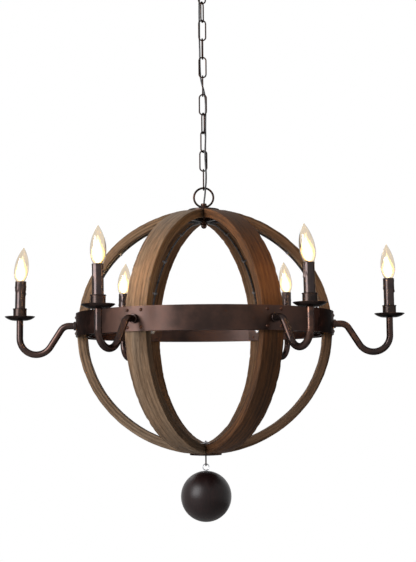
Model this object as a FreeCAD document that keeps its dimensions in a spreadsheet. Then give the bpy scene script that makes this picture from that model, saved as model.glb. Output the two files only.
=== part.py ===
"""Orb chandelier: six bent wooden ribs held between two steel bands, with six candle arms, a hub at the
top, a turned ball under the bottom and a chain up to a ceiling canopy.

The origin is the middle of the ceiling plane, +Z is up and everything hangs below it. Rib 1 points along
+X and the others follow every 60 degrees. Lengths are in millimetres. The orb's own heights are counted
from the band plane, which lies at band_level in the part's frame.
"""

import FreeCAD, Part
import math
import os
import re

import Sketcher
from FreeCAD import Placement, Rotation, Vector

RIB_COUNT = 6
LINK_COUNT = 11
X_AXIS = Vector(1, 0, 0)
Y_AXIS = Vector(0, 1, 0)
Z_AXIS = Vector(0, 0, 1)
AZIMUTHS = [360.0 / RIB_COUNT * number for number in range(RIB_COUNT)]

# How far each link is turned about the vertical, from the top link down.
LINK_TWISTS = (10, 70, 10, 85, 0, 90, 175, 110, 50, -10, 90)

# Driving dimensions, each written once. Wires and holes are given by radius unless the name says otherwise.
SIZES = {
    # fits
    "seat_gap": 0.1,            # between faces that are screwed together
    "thread_fit": 0.1,          # radial, around the hollow threaded rods
    "shank_fit": 0.1,           # radial, around rivets, the hook and the eye
    "link_gap": 0.3,            # between wires that hang in one another
    "mitre_gap": 0.15,          # between neighbouring ribs where they meet at the poles
    # hollow threaded rod and its nuts
    "thread_radius": 4.85,
    "thread_bore": 3.2,
    "nut_flats": 16.0,
    "nut_thick": 4.0,
    "nut_overhang": 1.3,        # rod end standing past its nut
    # ceiling canopy
    "canopy_radius": 65.0,
    "canopy_depth": 30.0,
    "canopy_wall": 1.5,
    "canopy_shoulder": 20.0,
    "crossbar_length": 100.0,
    "crossbar_width": 16.0,
    "crossbar_thick": 2.0,
    "screw_spacing": 70.0,
    "screw_hole": 2.4,
    # cast loops: the collar's height, its foot and neck, the ring's height above the seat
    "loop_thread": 8.5,
    "small_collar": 12.0,
    "small_foot": 12.0,
    "small_neck": 9.5,
    "small_rise": 20.5,
    "small_ring": 11.0,
    "small_wire": 2.25,
    "large_collar": 12.4,
    "large_foot": 12.0,
    "large_neck": 7.0,
    "large_rise": 27.3,
    "large_ring": 23.5,
    "large_wire": 2.5,
    # chain link: the wire's diameter and the outer length and width
    "link_wire": 3.5,
    "link_length": 53.7,
    "link_width": 20.5,
    # ribs: half the orb's width and height over the ribs, and the radius of the side arcs
    "orb_reach": 304.0,
    "orb_half": 293.0,
    "orb_sink": 15.0,           # orb's centre below the band plane
    "side_radius": 283.0,
    "rib_thick": 21.0,
    "rib_width": 56.0,
    "rib_edge": 1.5,
    "bolt_hole": 5.1,
    # steel bands
    "band_height": 55.0,
    "band_wall": 3.0,
    "band_fit": 0.2,
    "liner_wall": 2.5,
    "liner_lap": 1.0,           # flat beyond each side of a rib
    # rivets
    "rivet_spread": 17.8,
    "rivet_rise": 19.0,
    "rivet_head": 4.0,
    "rivet_dome": 2.5,
    "rivet_shank": 2.0,
    "tail_radius": 3.0,
    "tail_height": 1.2,
    "tail_gap": 0.25,
    # caps and plates at the poles
    "cap_radius": 38.0,
    "cap_thick": 3.5,
    "cap_edge": 1.5,
    "plate_radius": 31.0,
    "plate_thick": 3.0,
    # hub finial
    "finial_neck": 9.6,
    "finial_wall": 2.0,
    "finial_cavity": 6.5,
    "finial_shoulder": 9.0,
    "finial_thread": 11.0,
    "finial_ball": 7.0,
    "finial_drop": 19.3,
    "port_radius": 2.5,
    # arms
    "collar_radius": 10.5,
    "collar_thick": 6.5,
    "collar_edge": 1.5,
    "tube_radius": 8.0,
    "tube_wall": 1.5,
    "bush_length": 9.0,
    "arm_slope": 57.3,
    "first_bend": 22.0,
    "bowl_bend": 40.0,
    "arm_drop": 68.0,
    "arm_rise": 14.0,
    "arm_reach": 136.0,         # from the band's face to the candle's axis
    # candle: drip pan, cup, sleeve and lamp socket
    "pan_radius": 36.5,
    "pan_flat": 13.0,
    "pan_rise": 9.2,
    "pan_wall": 1.4,
    "cup_foot": 10.0,
    "cup_radius": 16.0,
    "cup_swell": 6.4,
    "cup_height": 27.8,
    "cup_wall": 1.4,
    "cup_floor": 4.0,
    "cup_bead": 1.2,
    "rod_height": 40.0,
    "sleeve_radius": 12.35,
    "sleeve_wall": 1.15,
    "sleeve_length": 88.8,
    "socket_radius": 9.5,
    "socket_sink": 5.5,
    "socket_cavity": 7.0,
    "cavity_depth": 28.0,
    # bulb, measured from the sleeve's top
    "base_radius": 5.9,
    "base_depth": 30.0,
    "neck_radius": 7.5,
    "neck_depth": 5.0,
    "bulb_radius": 17.5,
    "bulb_waist": 28.0,
    "tip_radius": 2.4,
    "tip_rise": 80.0,
    # wiring
    "wire_radius": 2.2,
    "wire_lift": 0.6,           # cable clear of the rib's face
    "wire_bend": 60.0,          # where the cable leaves the hub
    "wire_tuck": 12.0,          # where the cable turns into the arm
    "cord_radius": 2.1,
    "clip_width": 5.0,
    "clip_thick": 1.0,
    "clip_reach": 7.0,
    # hook, eye and ball
    "hook_wire": 1.75,
    "hook_bow": 6.5,
    "hook_back": 4.0,
    "hook_drop": 23.0,          # bow's lowest centreline below the cap
    "hook_mouth": 155.0,        # where the bow ends, in degrees from +Y
    "hook_thread": 2.0,         # shank standing past its nut
    "hook_flats": 8.0,
    "eye_wire": 1.2,
    "eye_ring": 7.3,
    "stem_radius": 1.5,
    "stem_length": 25.0,
    "stem_space": 0.5,          # below the stem's end, in the ball
    "ball_radius": 60.0,
}

# What follows from the driving dimensions.
DERIVED = {
    # canopy loop and chain, from the ceiling down
    "canopy_ring": "-canopy_depth - seat_gap - small_rise",
    "link_reach": "link_length - link_wire",
    "link_pitch": "link_reach - link_wire - link_gap",
    "link_bow": "(link_width - link_wire) / 2",
    "link_side": "link_reach / 2 - link_bow",
    "chain_top": "canopy_ring - small_ring + small_wire + link_wire / 2 + link_gap",
    "chain_foot": f"chain_top - link_reach - {LINK_COUNT - 1} * link_pitch",
    "hanging_ring": "chain_foot + link_wire / 2 + large_wire + link_gap - large_ring",
    # the four arcs of a rib
    "top_radius": "(side_radius ^ 2 - orb_half ^ 2 - (orb_reach - side_radius) ^ 2)"
                  " / (2 * (side_radius - orb_half))",
    "side_centre": "orb_reach - side_radius",
    "top_offset": "top_radius - orb_half",
    "joint_angle": "atan2(top_offset; side_centre)",
    "inner_side": "side_radius - rib_thick",
    "inner_top": "top_radius - rib_thick",
    # poles and what sits on them, above the band plane
    "pole_top": "orb_half - orb_sink",
    "pole_foot": "-orb_half - orb_sink",
    "cap_curve": f"top_radius / cos({180 / RIB_COUNT}) ^ 2",
    "cap_top": "pole_top + seat_gap + cap_thick",
    "plate_sink": "inner_top - sqrt(inner_top ^ 2 - plate_radius ^ 2) + seat_gap",
    "plate_under": "pole_top - rib_thick - plate_sink - plate_thick",
    "plate_over": "pole_foot + rib_thick + plate_sink + plate_thick",
    "loop_seat": "cap_top + seat_gap",
    "band_level": "hanging_ring - large_rise - loop_seat",
    # bands
    "band_bore": "sqrt(orb_reach ^ 2 + (rib_width / 2) ^ 2) + band_fit",
    "band_face": "band_bore + band_wall",
    "liner_face": "side_centre + sqrt(inner_side ^ 2 - (band_height / 2 + orb_sink) ^ 2) - seat_gap",
    "liner_half": "rib_width / 2 + liner_lap",
    "liner_curve": "sqrt(liner_face ^ 2 + liner_half ^ 2)",
    "liner_inside": "liner_face - liner_wall",
    "liner_inner_half": "sqrt((liner_curve - liner_wall) ^ 2 - liner_inside ^ 2)",
    # arms
    "arm_start": "band_face + collar_thick + 2 * seat_gap",
    "candle_circle": "band_face + arm_reach",
    "arm_corner": "bowl_bend - arm_drop - bowl_bend * tan((90 + arm_slope) / 2)",
    "arm_elbow": "candle_circle + arm_corner / tan(arm_slope)",
    "rod_hole": "thread_radius + thread_fit",
    "rod_inside": "liner_inside - seat_gap - nut_thick - nut_overhang",
    # candle heights above the band plane
    "pan_level": "arm_rise + seat_gap",
    "pan_curve": "((pan_radius - pan_flat) ^ 2 + pan_rise ^ 2) / (2 * pan_rise)",
    "cup_level": "pan_level + pan_wall + seat_gap",
    "sleeve_level": "cup_level + cup_floor + seat_gap",
    "sleeve_top": "sleeve_level + sleeve_length",
    "bulb_swell": "bulb_radius - neck_radius",
    "bulb_below": "bulb_waist + neck_depth",
    "bulb_taper": "bulb_radius - tip_radius",
    "bulb_above": "tip_rise - bulb_waist",
    # hub cable height and the ball's chain of parts
    "wire_level": "plate_under - seat_gap - 0.6 - port_radius",
    "hook_level": "pole_foot - seat_gap - cap_thick - hook_drop + hook_bow",
    "eye_level": "hook_level - hook_bow + hook_wire + eye_wire + link_gap - eye_ring",
    "ball_level": "eye_level - eye_ring - eye_wire - seat_gap - ball_radius",
}

doc = FreeCAD.newDocument("orb_chandelier")
sheet = doc.addObject("Spreadsheet::Sheet", "sizes")
for row, (alias, content) in enumerate([*SIZES.items(), *DERIVED.items()], start=1):
    sheet.set(f"A{row}", alias)
    sheet.set(f"B{row}", f"={content}" if alias in DERIVED else str(content))
    sheet.setAlias(f"B{row}", alias)
doc.recompute()


def named(formula):
    """A formula on the sizes, written for an object outside the sheet."""
    return re.sub(r"\b([a-z]+(?:_[a-z]+)+)\b", r"sizes.\1", str(formula))


def value(formula):
    """What a formula on the sizes gives now."""
    return float(sheet.evalExpression(str(formula)))


def bind(thing, place, formula):
    """Ties a property or constraint to a formula on the sizes."""
    thing.setExpression(place, named(formula))


def new_body(label):
    body = doc.addObject("PartDesign::Body", label)
    body.Label = label
    return body


def sketch_on(body, role, name, level="0"):
    """A sketch on one of the body's origin planes, moved along the plane's normal to a level."""
    sketch = body.newObject("Sketcher::SketchObject", name)
    plane = next(feature for feature in body.Origin.OriginFeatures if feature.Role == role)
    sketch.AttachmentSupport = [(plane, "")]
    sketch.MapMode = "FlatFace"
    bind(sketch, ".AttachmentOffset.Base.z", level)
    return sketch


def fix_point(sketch, edge, end, x, y):
    """Holds one end of a sketch edge at a place given by two formulas."""
    for kind, formula in (("DistanceX", x), ("DistanceY", y)):
        number = sketch.addConstraint(Sketcher.Constraint(kind, -1, 1, edge, end, value(formula)))
        bind(sketch, f"Constraints[{number}]", formula)


def fix_radius(sketch, edge, formula):
    number = sketch.addConstraint(Sketcher.Constraint("Radius", edge, value(formula)))
    bind(sketch, f"Constraints[{number}]", formula)


def add_arc(sketch, start, end, radius, left):
    """A sketch arc of less than half a turn; left means that it turns left on its way from start to end."""
    chord = end - start
    middle = (start + end) / 2
    height = math.sqrt(max(radius ** 2 - chord.Length ** 2 / 4, 0.0))
    across = Vector(-chord.y, chord.x, 0).normalize() * (height if left else -height)
    centre = middle + across
    first, last = (start, end) if left else (end, start)
    angles = [math.atan2(point.y - centre.y, point.x - centre.x) for point in (first, last)]
    if angles[1] < angles[0]:
        angles[1] += 2 * math.pi
    return sketch.addGeometry(Part.ArcOfCircle(Part.Circle(centre, Z_AXIS, radius), *angles))


def outline(sketch, corners, arcs=None):
    """A closed outline through the corners. arcs gives, for the edge that starts at a corner's number,
    its radius and whether it turns left; the other edges are straight."""
    arcs = arcs or {}
    points = [Vector(value(x), value(y), 0) for x, y in corners]
    edges = []
    for number, start in enumerate(points):
        end = points[(number + 1) % len(points)]
        if number in arcs:
            radius, left = arcs[number]
            edge = add_arc(sketch, start, end, value(radius), left)
            edges.append((edge, 1 if left else 2, 2 if left else 1))
        else:
            edges.append((sketch.addGeometry(Part.LineSegment(start, end)), 1, 2))
    for number, (edge, _, tail) in enumerate(edges):
        following, head, _ = edges[(number + 1) % len(edges)]
        sketch.addConstraint(Sketcher.Constraint("Coincident", edge, tail, following, head))
    for number, (edge, head, _) in enumerate(edges):
        fix_point(sketch, edge, head, *corners[number])
        if number in arcs:
            fix_radius(sketch, edge, arcs[number][0])


def circle(sketch, radius, x="0", y="0"):
    edge = sketch.addGeometry(Part.Circle(Vector(value(x), value(y), 0), Z_AXIS, value(radius)))
    fix_point(sketch, edge, 3, x, y)
    fix_radius(sketch, edge, radius)


def smooth_path(sketch, corners, bends):
    """Straight runs through the corners, with a tangent arc of the given radius at each inner corner."""
    points = [Vector(value(x), value(y), 0) for x, y in corners]
    edges = []
    run_start = points[0]
    for number in range(1, len(points) - 1):
        radius = value(bends[number - 1])
        arriving = (points[number] - points[number - 1]).normalize()
        leaving = (points[number + 1] - points[number]).normalize()
        setback = radius * math.tan(arriving.getAngle(leaving) / 2)
        left = arriving.cross(leaving).z > 0
        arc_start = points[number] - arriving * setback
        arc_end = points[number] + leaving * setback
        across = Vector(-arriving.y, arriving.x, 0) * (radius if left else -radius)
        centre = arc_start + across
        first, last = (arc_start, arc_end) if left else (arc_end, arc_start)
        angles = [math.atan2(point.y - centre.y, point.x - centre.x) for point in (first, last)]
        if angles[1] < angles[0]:
            angles[1] += 2 * math.pi
        edges.append((sketch.addGeometry(Part.LineSegment(run_start, arc_start)), 1, 2))
        arc = sketch.addGeometry(Part.ArcOfCircle(Part.Circle(centre, Z_AXIS, radius), *angles))
        edges.append((arc, 1 if left else 2, 2 if left else 1))
        run_start = arc_end
    edges.append((sketch.addGeometry(Part.LineSegment(run_start, points[-1])), 1, 2))
    for (edge, _, tail), (following, head, _) in zip(edges, edges[1:]):
        sketch.addConstraint(Sketcher.Constraint("Tangent", edge, tail, following, head))
    for number in range(1, len(points) - 1):
        before, arc, after = (edges[2 * number + step][0] for step in (-2, -1, 0))
        fix_radius(sketch, arc, bends[number - 1])
        corner = sketch.addGeometry(Part.Point(points[number]), True)
        for run in (before, after):
            sketch.addConstraint(Sketcher.Constraint("PointOnObject", corner, 1, run))
        fix_point(sketch, corner, 1, *corners[number])
    fix_point(sketch, edges[0][0], 1, *corners[0])
    fix_point(sketch, edges[-1][0], 2, *corners[-1])


def turn(body, name, corners, arcs=None, axis="V_Axis", kind="Revolution"):
    """Material turned about the body's vertical (V_Axis) or X axis (H_Axis), or cut away by a Groove."""
    section = sketch_on(body, "XZ_Plane", f"{name}_section")
    outline(section, corners, arcs)
    feature = body.newObject(f"PartDesign::{kind}", name)
    feature.Profile = section
    feature.ReferenceAxis = (section, [axis])
    feature.Angle = 360
    return feature


def turned(label, corners, arcs=None, axis="V_Axis"):
    body = new_body(label)
    turn(body, f"{label}_turning", corners, arcs, axis)
    return body


def ring(body, name, radius, wire, level):
    """A round ring in the XZ plane, centred on the axis at a level."""
    section = sketch_on(body, "XY_Plane", f"{name}_section", level)
    circle(section, wire, radius)
    feature = body.newObject("PartDesign::Revolution", name)
    feature.Profile = section
    feature.ReferenceAxis = (section, ["V_Axis"])
    feature.Angle = 360


def pad(body, name, sketch, length, symmetric=False):
    feature = body.newObject("PartDesign::Pad", name)
    feature.Profile = sketch
    bind(feature, "Length", length)
    feature.SideType = "Symmetric" if symmetric else "One side"
    return feature


def pocket_through(body, name, sketch):
    """Cuts a sketch through the whole body, both ways from its plane."""
    feature = body.newObject("PartDesign::Pocket", name)
    feature.Profile = sketch
    feature.Type = "ThroughAll"
    feature.SideType = "Symmetric"
    return feature


def pipe(body, name, path, section):
    feature = body.newObject("PartDesign::AdditivePipe", name)
    feature.Profile = section
    feature.Spine = (path, [])
    return feature


def stand(thing, level, radius="0", azimuth=0.0, tilt=None):
    """Places a piece at a level, out along an azimuth and turned with it."""
    turned_by = Rotation(Z_AXIS, azimuth)
    thing.Placement = Placement(Vector(0, 0, 0), turned_by * tilt if tilt else turned_by)
    bind(thing, ".Placement.Base.x", f"({radius}) * cos({azimuth})")
    bind(thing, ".Placement.Base.y", f"({radius}) * sin({azimuth})")
    bind(thing, ".Placement.Base.z", level)
    return thing


def group(label, original, places):
    """Equal pieces as one node: places holds each copy's level, radius, azimuth and tilt."""
    copies = []
    for number, place in enumerate(places, start=1):
        copy = doc.addObject("App::Link", f"{label}_{number}")
        copy.LinkedObject = original
        copies.append(stand(copy, *place))
    compound = doc.addObject("Part::Compound", label)
    compound.Label = label
    compound.Links = copies
    return compound


def around(level, radius="0"):
    """One place at each rib's azimuth."""
    return [(level, radius, azimuth) for azimuth in AZIMUTHS]


def drilled(label, blank, drills):
    """The blank with every drill's cylinder taken out."""
    cut = doc.addObject("Part::Cut", label)
    cut.Label = label
    cut.Base = blank
    cut.Tool = drills
    return cut


def hexagon(sketch, flats):
    corner = f"({flats}) / 2 / cos(30)"
    outline(sketch, [(f"{corner} * cos({60 * step})", f"{corner} * sin({60 * step})") for step in range(6)])


def hex_nut(label, role="XY_Plane", level="0"):
    body = new_body(label)
    section = sketch_on(body, role, f"{label}_section", level)
    hexagon(section, "nut_flats")
    circle(section, "rod_hole")
    pad(body, f"{label}_pad", section, "nut_thick")
    return body


def washer_shape(hole, outer, low, high):
    """The outline of a plain ring about the turning axis."""
    return [(hole, low), (outer, low), (outer, high), (hole, high)]


# Ceiling fixing ------------------------------------------------------------------------------------------

def canopy_shell():
    """A shallow spun dish, open towards the ceiling."""
    straight = "canopy_radius - canopy_shoulder"
    corners = [
        ("rod_hole", "-canopy_depth"),
        (straight, "-canopy_depth"),
        ("canopy_radius", "canopy_shoulder - canopy_depth"),
        ("canopy_radius", "0"),
        ("canopy_radius - canopy_wall", "0"),
        ("canopy_radius - canopy_wall", "canopy_shoulder - canopy_depth"),
        (straight, "canopy_wall - canopy_depth"),
        ("rod_hole", "canopy_wall - canopy_depth"),
    ]
    arcs = {1: ("canopy_shoulder", True), 5: ("canopy_shoulder - canopy_wall", False)}
    return turned("canopy_shell", corners, arcs)


def canopy_crossbar():
    """The flat bar that is screwed to the ceiling box, with two screw holes and one for the rod."""
    body = new_body("canopy_crossbar")
    plan = sketch_on(body, "XY_Plane", "crossbar_plan", "-crossbar_thick")
    ends = (("-", "-"), ("", "-"), ("", ""), ("-", ""))
    outline(plan, [(f"{x}crossbar_length / 2", f"{y}crossbar_width / 2") for x, y in ends])
    circle(plan, "rod_hole")
    for side in ("-", ""):
        circle(plan, "screw_hole", f"{side}screw_spacing / 2")
    pad(body, "crossbar_plate", plan, "crossbar_thick")
    return body


def hollow_rod(label, low, high, axis="V_Axis"):
    """A hollow threaded rod between two places along its axis."""
    corners = washer_shape("thread_bore", "thread_radius", low, high)
    if axis == "H_Axis":
        corners = [(along, across) for across, along in corners]
    return turned(label, corners, axis=axis)


def cast_loop(label, size):
    """A ring growing out of a bell-shaped collar, bored for the rod and above it for the cord."""
    body = new_body(label)
    collar, foot, neck = (f"{size}_{part}" for part in ("collar", "foot", "neck"))
    turn(body, f"{label}_collar", [("0", "0"), (foot, "0"), (neck, collar), ("0", collar)],
         {1: (f"1.4 * {collar}", False)})
    ring(body, f"{label}_ring", f"{size}_ring", f"{size}_wire", f"{size}_rise")
    bore = [
        ("0", "-seat_gap"),
        ("rod_hole", "-seat_gap"),
        ("rod_hole", "loop_thread"),
        ("thread_bore", "loop_thread"),
        ("thread_bore", f"{collar} + {size}_wire"),
        ("0", f"{collar} + {size}_wire"),
    ]
    turn(body, f"{label}_bore", bore, kind="Groove")
    return body


def ceiling_fixing():
    shell = canopy_shell()
    crossbar = canopy_crossbar()
    rod = hollow_rod("canopy_nipple", "-canopy_depth - loop_thread", "0")
    nut = stand(hex_nut("canopy_locknut"), "-crossbar_thick - seat_gap - nut_thick")
    loop = cast_loop("canopy_loop", "small")
    hung = Rotation(X_AXIS, 180)
    stand(loop, "-canopy_depth - seat_gap", azimuth=90.0, tilt=hung)
    return [shell, crossbar, rod, nut, loop]


# Chain ---------------------------------------------------------------------------------------------------

def link_path(sketch):
    """The centreline of a link: two straight sides and two half rings."""
    bow = value("link_bow")
    side = value("link_side")
    left = sketch.addGeometry(Part.LineSegment(Vector(-bow, -side, 0), Vector(-bow, side, 0)))
    top = sketch.addGeometry(Part.ArcOfCircle(Part.Circle(Vector(0, side, 0), Z_AXIS, bow), 0, math.pi))
    right = sketch.addGeometry(Part.LineSegment(Vector(bow, side, 0), Vector(bow, -side, 0)))
    foot = Part.Circle(Vector(0, -side, 0), Z_AXIS, bow)
    bottom = sketch.addGeometry(Part.ArcOfCircle(foot, math.pi, 2 * math.pi))
    joints = ((left, 2, top, 2), (top, 1, right, 1), (right, 2, bottom, 2), (bottom, 1, left, 1))
    for joint in joints:
        sketch.addConstraint(Sketcher.Constraint("Coincident", *joint))
    for line, across, first in ((left, "-link_bow", "-link_side"), (right, "link_bow", "link_side")):
        fix_point(sketch, line, 1, across, first)
        fix_point(sketch, line, 2, across, f"-({first})")
    for arc, level in ((top, "link_side"), (bottom, "-link_side")):
        number = sketch.addConstraint(Sketcher.Constraint("DistanceY", -1, 1, arc, 3, value(level)))
        bind(sketch, f"Constraints[{number}]", level)


def chain():
    links = []
    for number, twist in enumerate(LINK_TWISTS):
        label = f"chain_link_{number + 1:02d}"
        body = new_body(label)
        path = sketch_on(body, "XZ_Plane", f"{label}_path")
        link_path(path)
        section = sketch_on(body, "XY_Plane", f"{label}_section", "-link_side")
        circle(section, "link_wire / 2", "-link_bow")
        pipe(body, f"{label}_wire", path, section)
        level = f"chain_top - link_reach / 2 - {number} * link_pitch"
        links.append(stand(body, level, azimuth=float(twist)))
    return links


# Orb -----------------------------------------------------------------------------------------------------

def rib_outline(sketch):
    """Half of a flattened ring: a side arc between two flatter arcs, inside and outside concentric."""
    def joint(radius, sign):
        across = f"side_centre + {radius} * cos(joint_angle)"
        return across, f"{sign}{radius} * sin(joint_angle) - orb_sink"

    corners = [
        ("0", "pole_foot"),
        joint("side_radius", "-"),
        joint("side_radius", ""),
        ("0", "pole_top"),
        ("0", "pole_top - rib_thick"),
        joint("inner_side", ""),
        joint("inner_side", "-"),
        ("0", "pole_foot + rib_thick"),
    ]
    arcs = {
        0: ("top_radius", True),
        1: ("side_radius", True),
        2: ("top_radius", True),
        4: ("inner_top", False),
        5: ("inner_side", False),
        6: ("inner_top", False),
    }
    outline(sketch, corners, arcs)


def round_long_edges(body, blank, radius):
    """Rounds the curved edges that run along the rib on both of its flat sides."""
    doc.recompute()
    half = value("rib_width") / 2
    names = []
    for number, edge in enumerate(blank.Shape.Edges, start=1):
        levels = [abs(abs(vertex.Point.y) - half) for vertex in edge.Vertexes]
        same_side = len(edge.Vertexes) == 2 and edge.Vertexes[0].Point.y * edge.Vertexes[1].Point.y > 0
        if max(levels) < 1e-6 and same_side and isinstance(edge.Curve, Part.Circle):
            names.append(f"Edge{number}")
    fillet = body.newObject("PartDesign::Fillet", f"{body.Label}_edges")
    fillet.Base = (blank, names)
    bind(fillet, "Radius", radius)


def rib(number, azimuth, rivet_drill):
    """One bent rib, mitred at both poles, bored for the hub rod, its arm and its rivets."""
    label = f"rib_{number}"
    body = new_body(f"{label}_blank")
    profile = sketch_on(body, "XZ_Plane", f"{label}_profile")
    rib_outline(profile)
    blank = pad(body, f"{label}_bend", profile, "rib_width", symmetric=True)
    round_long_edges(body, blank, "rib_edge")
    half_angle = 180 / RIB_COUNT
    mitre = sketch_on(body, "XY_Plane", f"{label}_mitre")
    tip = f"mitre_gap / 2 / sin({half_angle})"
    far = f"rib_width / tan({half_angle})"
    high = f"({far} - {tip}) * tan({half_angle})"
    beyond = "-thread_radius"
    outline(mitre, [(tip, "0"), (far, high), (beyond, high), (beyond, f"-({high})"), (far, f"-({high})")])
    pocket_through(body, f"{label}_mitre_cut", mitre)
    for plane, hole in (("XY_Plane", "pole_hole"), ("YZ_Plane", "arm_hole")):
        sketch = sketch_on(body, plane, f"{label}_{hole}")
        circle(sketch, "bolt_hole")
        pocket_through(body, f"{label}_{hole}_cut", sketch)
    stand(body, "band_level", azimuth=azimuth)
    drills = group(f"{label}_drills", rivet_drill, rivet_places([azimuth]))
    return drilled(label, body, drills)


def rivet_places(azimuths):
    """Four rivets at each azimuth, two above and two below the band's middle."""
    places = []
    swing = math.degrees(math.asin(value("rivet_spread / band_face")))
    for azimuth in azimuths:
        for side in (-swing, swing):
            for rise in ("- rivet_rise", "+ rivet_rise"):
                places.append((f"band_level {rise}", "0", azimuth + side))
    return places


def radial_drill(label, radius):
    """A cylinder along +X that reaches through both bands."""
    drill = doc.addObject("Part::Cylinder", label)
    drill.Label = label
    bind(drill, "Radius", radius)
    bind(drill, "Height", "3 * (band_face - liner_inside)")
    drill.Placement = Placement(Vector(0, 0, 0), Rotation(Y_AXIS, 90))
    bind(drill, ".Placement.Base.x", "liner_inside - (band_face - liner_inside)")
    return drill


def carried(label, original):
    """The drill as a plain compound, so that copies of it turn about the orb's axis."""
    carrier = doc.addObject("Part::Compound", label)
    carrier.Links = [original]
    return carrier


def outer_band(band_drills):
    body = new_body("outer_band_blank")
    plan = sketch_on(body, "XY_Plane", "outer_band_plan")
    circle(plan, "band_face")
    circle(plan, "band_bore")
    pad(body, "outer_band_hoop", plan, "band_height", symmetric=True)
    stand(body, "band_level")
    return drilled("outer_band", body, band_drills)


def liner_loop(sketch, face, half, curve):
    """A hoop with a flat at each rib and round stretches between them."""
    corners = []
    for azimuth in AZIMUTHS:
        for side in ("-", "+"):
            x = f"{face} * cos({azimuth}) - ({side}1) * {half} * sin({azimuth})"
            y = f"{face} * sin({azimuth}) + ({side}1) * {half} * cos({azimuth})"
            corners.append((x, y))
    outline(sketch, corners, {2 * number + 1: (curve, True) for number in range(RIB_COUNT)})


def inner_band(band_drills):
    body = new_body("inner_band_blank")
    plan = sketch_on(body, "XY_Plane", "inner_band_plan")
    liner_loop(plan, "liner_face", "liner_half", "liner_curve")
    liner_loop(plan, "liner_inside", "liner_inner_half", "liner_curve - liner_wall")
    pad(body, "inner_band_hoop", plan, "band_height", symmetric=True)
    stand(body, "band_level")
    return drilled("inner_band", body, band_drills)


def band_rivets():
    """Domed heads outside, small closed tails inside."""
    head = "band_face + shank_fit / 2"
    tail = "liner_inside - tail_gap"
    dome = "(rivet_head ^ 2 + rivet_dome ^ 2) / (2 * rivet_dome)"
    corners = [
        (f"{tail} - tail_height", "0"),
        (f"{head} + rivet_dome", "0"),
        (head, "rivet_head"),
        (head, "rivet_shank"),
        (tail, "rivet_shank"),
        (tail, "tail_radius"),
        (f"{tail} - tail_height", "tail_radius / 2"),
    ]
    rivet = turned("band_rivet", corners, {1: (dome, True)}, axis="H_Axis")
    return group("band_rivets", rivet, rivet_places(AZIMUTHS))


def pole_cap(label, hole):
    """A dished disc that follows the ribs; its own zero is the pole."""
    def under(radius):
        return f"seat_gap - cap_curve + sqrt(cap_curve ^ 2 - ({radius}) ^ 2)"

    top = "cap_curve + cap_thick"
    edge = "cap_radius - cap_edge"
    over_edge = f"seat_gap - cap_curve + sqrt(({top}) ^ 2 - ({edge}) ^ 2)"
    over_hole = f"seat_gap - cap_curve + sqrt(({top}) ^ 2 - ({hole}) ^ 2)"
    corners = [
        (hole, under(hole)),
        ("cap_radius", under("cap_radius")),
        ("cap_radius", f"{over_edge} - cap_edge"),
        (edge, over_edge),
        (hole, over_hole),
    ]
    arcs = {0: ("cap_curve", False), 2: ("cap_edge", True), 3: (top, True)}
    return turned(label, corners, arcs)


def pole_plate(label, hole):
    return turned(label, washer_shape(hole, "plate_radius", "0", "plate_thick"))


def hub():
    """Hanging loop, cap, hollow rod, plate and finial at the top pole."""
    loop = stand(cast_loop("hanging_loop", "large"), "band_level + loop_seat")
    cap = stand(pole_cap("top_cap", "rod_hole"), "band_level + pole_top")
    rod_low = "plate_under - finial_thread + thread_fit"
    rod = stand(hollow_rod("hub_nipple", rod_low, "loop_seat + loop_thread - seat_gap"), "band_level")
    plate = stand(pole_plate("hub_plate", "rod_hole"), "band_level + plate_under")
    return [loop, cap, rod, plate, stand(hub_finial(), "band_level + plate_under")]


def hub_finial():
    """A small ball knob whose hollow neck lets the six lamp cables out; zero is the plate's underside."""
    inner = "finial_neck - finial_wall"
    ball_centre = "finial_ball - finial_drop"
    shoulder = f"sqrt(finial_ball ^ 2 - (finial_shoulder + {ball_centre}) ^ 2)"
    corners = [
        (inner, "-seat_gap"),
        (inner, "-finial_cavity"),
        ("rod_hole", "-finial_cavity"),
        ("rod_hole", "-finial_thread"),
        ("0", "-finial_thread"),
        ("0", "-finial_drop"),
        (shoulder, "-finial_shoulder"),
        ("finial_neck", "-finial_cavity"),
        ("finial_neck", "-seat_gap"),
    ]
    body = turned("hub_finial", corners, {5: ("finial_ball", True)})
    port = sketch_on(body, "YZ_Plane", "hub_finial_port")
    circle(port, "port_radius", "0", "wire_level - plate_under")
    cut = pocket_through(body, "hub_finial_port_cut", port)
    doc.recompute()
    pattern = body.newObject("PartDesign::PolarPattern", "hub_finial_ports")
    pattern.Originals = [cut]
    pattern.Axis = (port, ["V_Axis"])
    pattern.Occurrences = RIB_COUNT // 2
    pattern.Angle = 180 - 360 / RIB_COUNT
    body.Tip = pattern
    return body


# Arms and candles ----------------------------------------------------------------------------------------

def arm_tube(number, azimuth):
    """A bent tube that drops from the band in a deep bowl and rises to its candle."""
    label = f"arm_tube_{number}"
    body = new_body(label)
    path = sketch_on(body, "XZ_Plane", f"{label}_path")
    corners = [
        ("arm_start", "0"),
        ("arm_elbow", "0"),
        ("candle_circle", "arm_corner"),
        ("candle_circle", "arm_rise"),
    ]
    smooth_path(path, corners, ["first_bend", "bowl_bend"])
    section = sketch_on(body, "YZ_Plane", f"{label}_section", "arm_start")
    circle(section, "tube_radius")
    circle(section, "tube_radius - tube_wall")
    pipe(body, f"{label}_bend", path, section)
    ends = (("YZ_Plane", "arm_start", "0"), ("XY_Plane", "arm_rise - bush_length", "candle_circle"))
    for plane, level, across in ends:
        bush = sketch_on(body, plane, f"{label}_bush_{plane[:2].lower()}", level)
        circle(bush, "tube_radius - tube_wall / 2", across)
        circle(bush, "rod_hole", across)
        pad(body, f"{bush.Name}_pad", bush, "bush_length")
    return stand(body, "band_level", azimuth=azimuth)


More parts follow.
